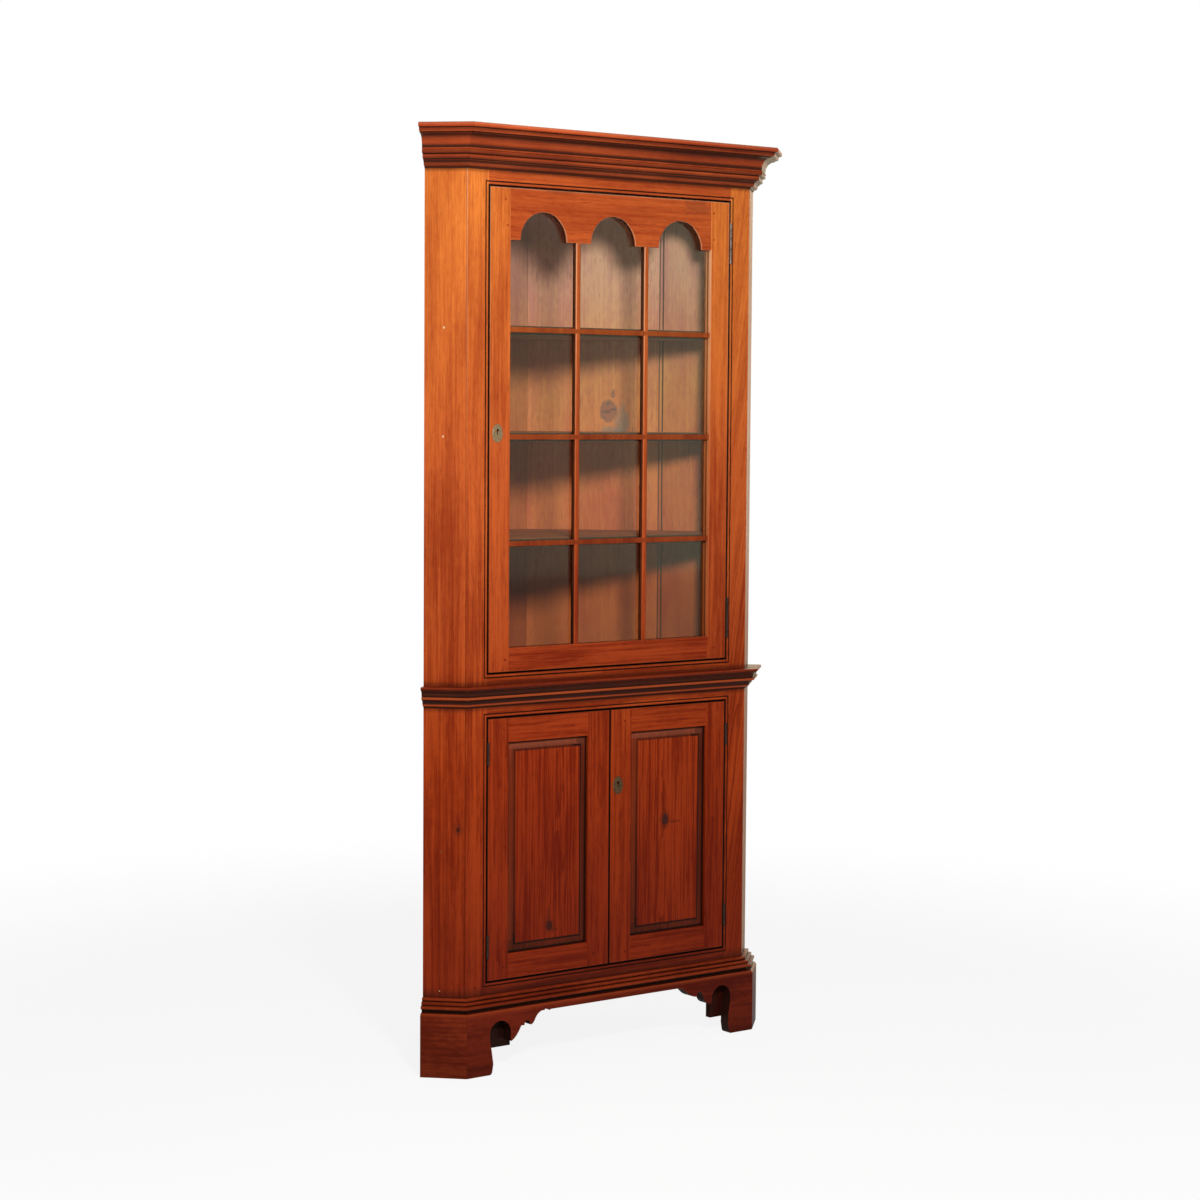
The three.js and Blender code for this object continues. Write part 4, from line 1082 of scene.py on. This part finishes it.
screwLook = {"sides": 20, "radius": 0.0034, "length": 0.0012, "proud": 0.00008, "dome": [(0.0005, 0.00004)],
             "slotWidth": 0.0008, "slotDepth": 0.0004, "turn": 40, "turnStep": 67, "turnByHeight": 90}
hingeLook = {"axis": 0.3478, "halfGap": 0.0002, "long": [(-0.034, 0.0085), (0.0, 0.0125), (0.034, 0.0085)],
             "short": [(-0.017, 0.011), (0.017, 0.011)]}
caseScrews = {"aside": 0.0135, "rise": 0.024, "turn": 31, "turnAside": 4000, "turnRise": 900}
screw = roundStud(screwLook)
cutSlot(screw, screwLook)
leafScrews = {}
for node in leaves:
    low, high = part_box(node)
    side = 1 if low.x > 0 else -1
    isFrame = node.endswith("frame_leaf")
    outward = -side if isFrame else side  # the way the leaf's bare face looks when the door is open
    x = side * hingeLook["axis"] - outward * hingeLook["halfGap"]
    size = "long" if node.startswith("upper") else "short"
    owner = "cabinet" if isFrame else node[:node.index("_hinge_")].rsplit("_", 1)[0]
    for count, (rise, deep) in enumerate(hingeLook[size]):
        place = (x, faceY + deep, (low.z + high.z) / 2 + rise)
        roll = screwLook["turn"] + screwLook["turnStep"] * count + low.z * screwLook["turnByHeight"]
        leafScrews.setdefault((owner, size), []).append(spotAt(place, 90 * outward, roll))
for (owner, size), spots in leafScrews.items():
    kind, metal = ("steel", steel) if size == "long" else ("iron", iron)
    layCopies(screw, spots, owner + "_" + kind + "_screws", owner, "hinge_" + kind, metal)

for door in plateBrass:
    low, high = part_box(door + "_lock_case")
    middle = (low + high) / 2
    spots = []
    for aside in (-caseScrews["aside"], caseScrews["aside"]):
        for rise in (-caseScrews["rise"], caseScrews["rise"]):
            roll = caseScrews["turn"] + aside * caseScrews["turnAside"] + rise * caseScrews["turnRise"]
            spots.append(spotAt((middle.x + aside, high.y, middle.z + rise), 180, roll))
    layCopies(screw, spots, door + "_lock_screws", door, "hinge_iron", iron)
bpy.data.objects.remove(screw)

pinLook = {"sides": 14, "radius": 0.0012, "length": 0.0012, "proud": 0.00015,
           "dome": [(0.0003, 0.0003), (0.0004, 0.00018)], "fromEnd": 0.0045}
pin = roundStud(pinLook)
for door, metal in plateBrass.items():
    low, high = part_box(door + "_escutcheon")
    heights = (low.z + pinLook["fromEnd"], high.z - pinLook["fromEnd"])
    spots = [spotAt(((low.x + high.x) / 2, low.y, z)) for z in heights]
    layCopies(pin, spots, door + "_plate_pins", door, "brass", metal)
bpy.data.objects.remove(pin)
print("pegs, screws and pins laid")


# Backs of the glazing bars, behind the glass

barLook = {"front": 0.0155, "back": 0.0205, "width": 0.0092, "taper": 0.55, "uprights": (-0.09883, 0.09883),
           "levels": barLevels, "ends": (0.9686, 1.8869), "sides": (-0.2897, 0.2897), "lap": 0.8,
           "soft": 0.0004, "side": 1.2}
barFront = faceY + barLook["front"]
barBack = faceY + barLook["back"]
barHalf = barLook["width"] / 2


def barStrip(startX, endX, startZ, endZ, isUpright):
    low, high = Vector((startX, barFront, startZ)), Vector((endX, barBack, endZ))
    deselectAll()
    bpy.ops.mesh.primitive_cube_add(size=1, location=(low + high) / 2, scale=high - low)
    strip = bpy.context.object
    bpy.ops.object.transform_apply()
    pickFaces(strip, lambda face: face.normal.y > 0.9)
    useMode("EDIT")
    taper = barLook["taper"]
    bpy.ops.transform.resize(value=(taper, 1, 1) if isUpright else (1, 1, taper))
    useMode("OBJECT")
    return strip


strips = []
for x in barLook["uprights"]:
    strips.append(barStrip(x - barHalf, x + barHalf, *barLook["ends"], True))
crossings = [barLook["sides"][0], *barLook["uprights"], barLook["sides"][1]]
for z in barLook["levels"]:
    for start, end in zip(crossings, crossings[1:]):
        gapStart = 0 if start == crossings[0] else barHalf * barLook["lap"]
        gapEnd = 0 if end == crossings[-1] else barHalf * barLook["lap"]
        strips.append(barStrip(start + gapStart, end - gapEnd, z - barHalf, z + barHalf, False))
barBacks = joinPieces(strips, "upper_door_bar_backs")
soften(barBacks, barLook["soft"])
boardGrain(barBacks, board("upright", 56.0, 0.6, 0.4),
           shadingAndWear=lambda centre, normal: 0.0 if normal.y > 0.8 else barLook["side"])
dress(barBacks, framePine)
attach(barBacks, "upper_door")
print("bar backs finished")


# Stage: floor, world, lamps and camera

stageLook = {
    "floorSize": 30.0, "floorColour": (0.82, 0.82, 0.81, 1), "floorShare": 0.88, "floorFade": (1.2, 3.2),
    "warm": (1, 0.88, 0.64, 1), "cardPower": 0.9, "cardSpan": (-0.1, 0.5), "fill": 0.25, "back": 0.08,
    "sideX": (0.2, 0.65), "sideY": (-0.1, 0.25), "sideLow": 0.38, "sideMore": 1.3,
}
keyLook = {"power": 92.0, "size": 0.45, "place": Vector((-1.47, faceY - 2.63, 2.26)),
           "target": Vector((0, faceY, 1.3))}


def floorMaterial():
    material, m = newMaterial("paleFloor")
    place = m.node("TexCoord", output="Object")
    far = m.vector("LENGTH", place, (0, 0, 0), "Value").between(*stageLook["floorFade"])
    seen = m.node("LightPath", output="Is Camera Ray")
    mirrored = m.node("LightPath", output="Is Glossy Ray")
    # a warm card behind the piece, met by reflections only
    behind = m.parts(place)[1].between(*stageLook["cardSpan"])
    matt = m.node("BsdfDiffuse", None, {"Color": stageLook["floorColour"]})
    cardValues = {"Color": stageLook["warm"], "Strength": stageLook["cardPower"]}
    warm = m.node("Emission", None, cardValues)
    white = m.node("Emission", None, {"Color": (1, 1, 1, 1), "Strength": 1.0})
    lit = m.node("MixShader", None, {0: mirrored * behind, 1: matt, 2: warm})
    share = stageLook["floorShare"]
    m.show(m.node("MixShader", None, {0: seen * (share + far * (1.0 - share)), 1: lit, 2: white}))
    return material


def studioWorld():
    world = bpy.data.worlds.new("studio")
    world.use_nodes = True
    m = Maker(world.node_tree)
    path = m.node("LightPath").socket.node.outputs
    names = ("Is Camera Ray", "Is Glossy Ray", "Is Transmission Ray")
    isCamera, isGlossy, isTransmission = (Wire(m, path[name]) for name in names)
    headingX, headingY, _ = m.parts(m.node("TexCoord", output="Generated"))
    # a second card at the right, brighter towards the back
    turned = headingY.between(*stageLook["sideY"]) * stageLook["sideMore"]
    card = headingX.between(*stageLook["sideX"]) * (stageLook["sideLow"] + turned)
    backdrop = stageLook["back"] + card
    straight = isCamera.most(isTransmission)
    fill = stageLook["fill"] * (1.0 - straight) * (1.0 - isGlossy)
    tint = m.blend(isGlossy * card.least(1.0), (1, 1, 1, 1), stageLook["warm"])
    values = {"Color": tint, "Strength": fill + straight + isGlossy * backdrop}
    m.show(m.node("Background", None, values), "OutputWorld")
    return world


deselectAll()
bpy.ops.mesh.primitive_plane_add(size=stageLook["floorSize"], location=(0, 0, 0))
floor = bpy.context.object
floor.name = "floor"
floor.data.materials.append(floorMaterial())
bpy.context.scene.world = studioWorld()


def areaLamp(name, look):
    data = bpy.data.lights.new(name, "AREA")
    data.shape = "DISK"
    data.size = look["size"]
    data.energy = look["power"]
    lamp = bpy.data.objects.new(name, data)
    addToScene(lamp)
    lamp.location = look["place"]
    lamp.rotation_euler = (look["target"] - look["place"]).to_track_quat("-Z", "Y").to_euler()


areaLamp("keyLamp", keyLook)

cameraLook = {"lens": 78.93, "sensor": 36, "place": (-3.695, -5.07038, 1.498), "yaw": -36.93, "pitch": 4.04,
              "roll": 0.4}


def cameraTurn(look):
    yaw, pitch, roll = (radians(look[name]) for name in ("yaw", "pitch", "roll"))
    ahead = Vector((-sin(yaw) * cos(pitch), cos(yaw) * cos(pitch), -sin(pitch)))
    aside = Vector((cos(yaw), sin(yaw), 0))
    above = aside.cross(ahead)
    cameraX = aside * cos(roll) + above * sin(roll)
    cameraY = above * cos(roll) - aside * sin(roll)
    return Matrix((cameraX, cameraY, -ahead)).transposed().to_4x4()


cameraData = bpy.data.cameras.new("camera")
cameraData.lens = cameraLook["lens"]
cameraData.sensor_width = cameraLook["sensor"]
camera = bpy.data.objects.new("camera", cameraData)
addToScene(camera)
camera.matrix_world = Matrix.Translation(cameraLook["place"]) @ cameraTurn(cameraLook)
bpy.context.scene.camera = camera
bpy.context.scene.view_settings.view_transform = "Standard"
print("stage, lamps and camera made")
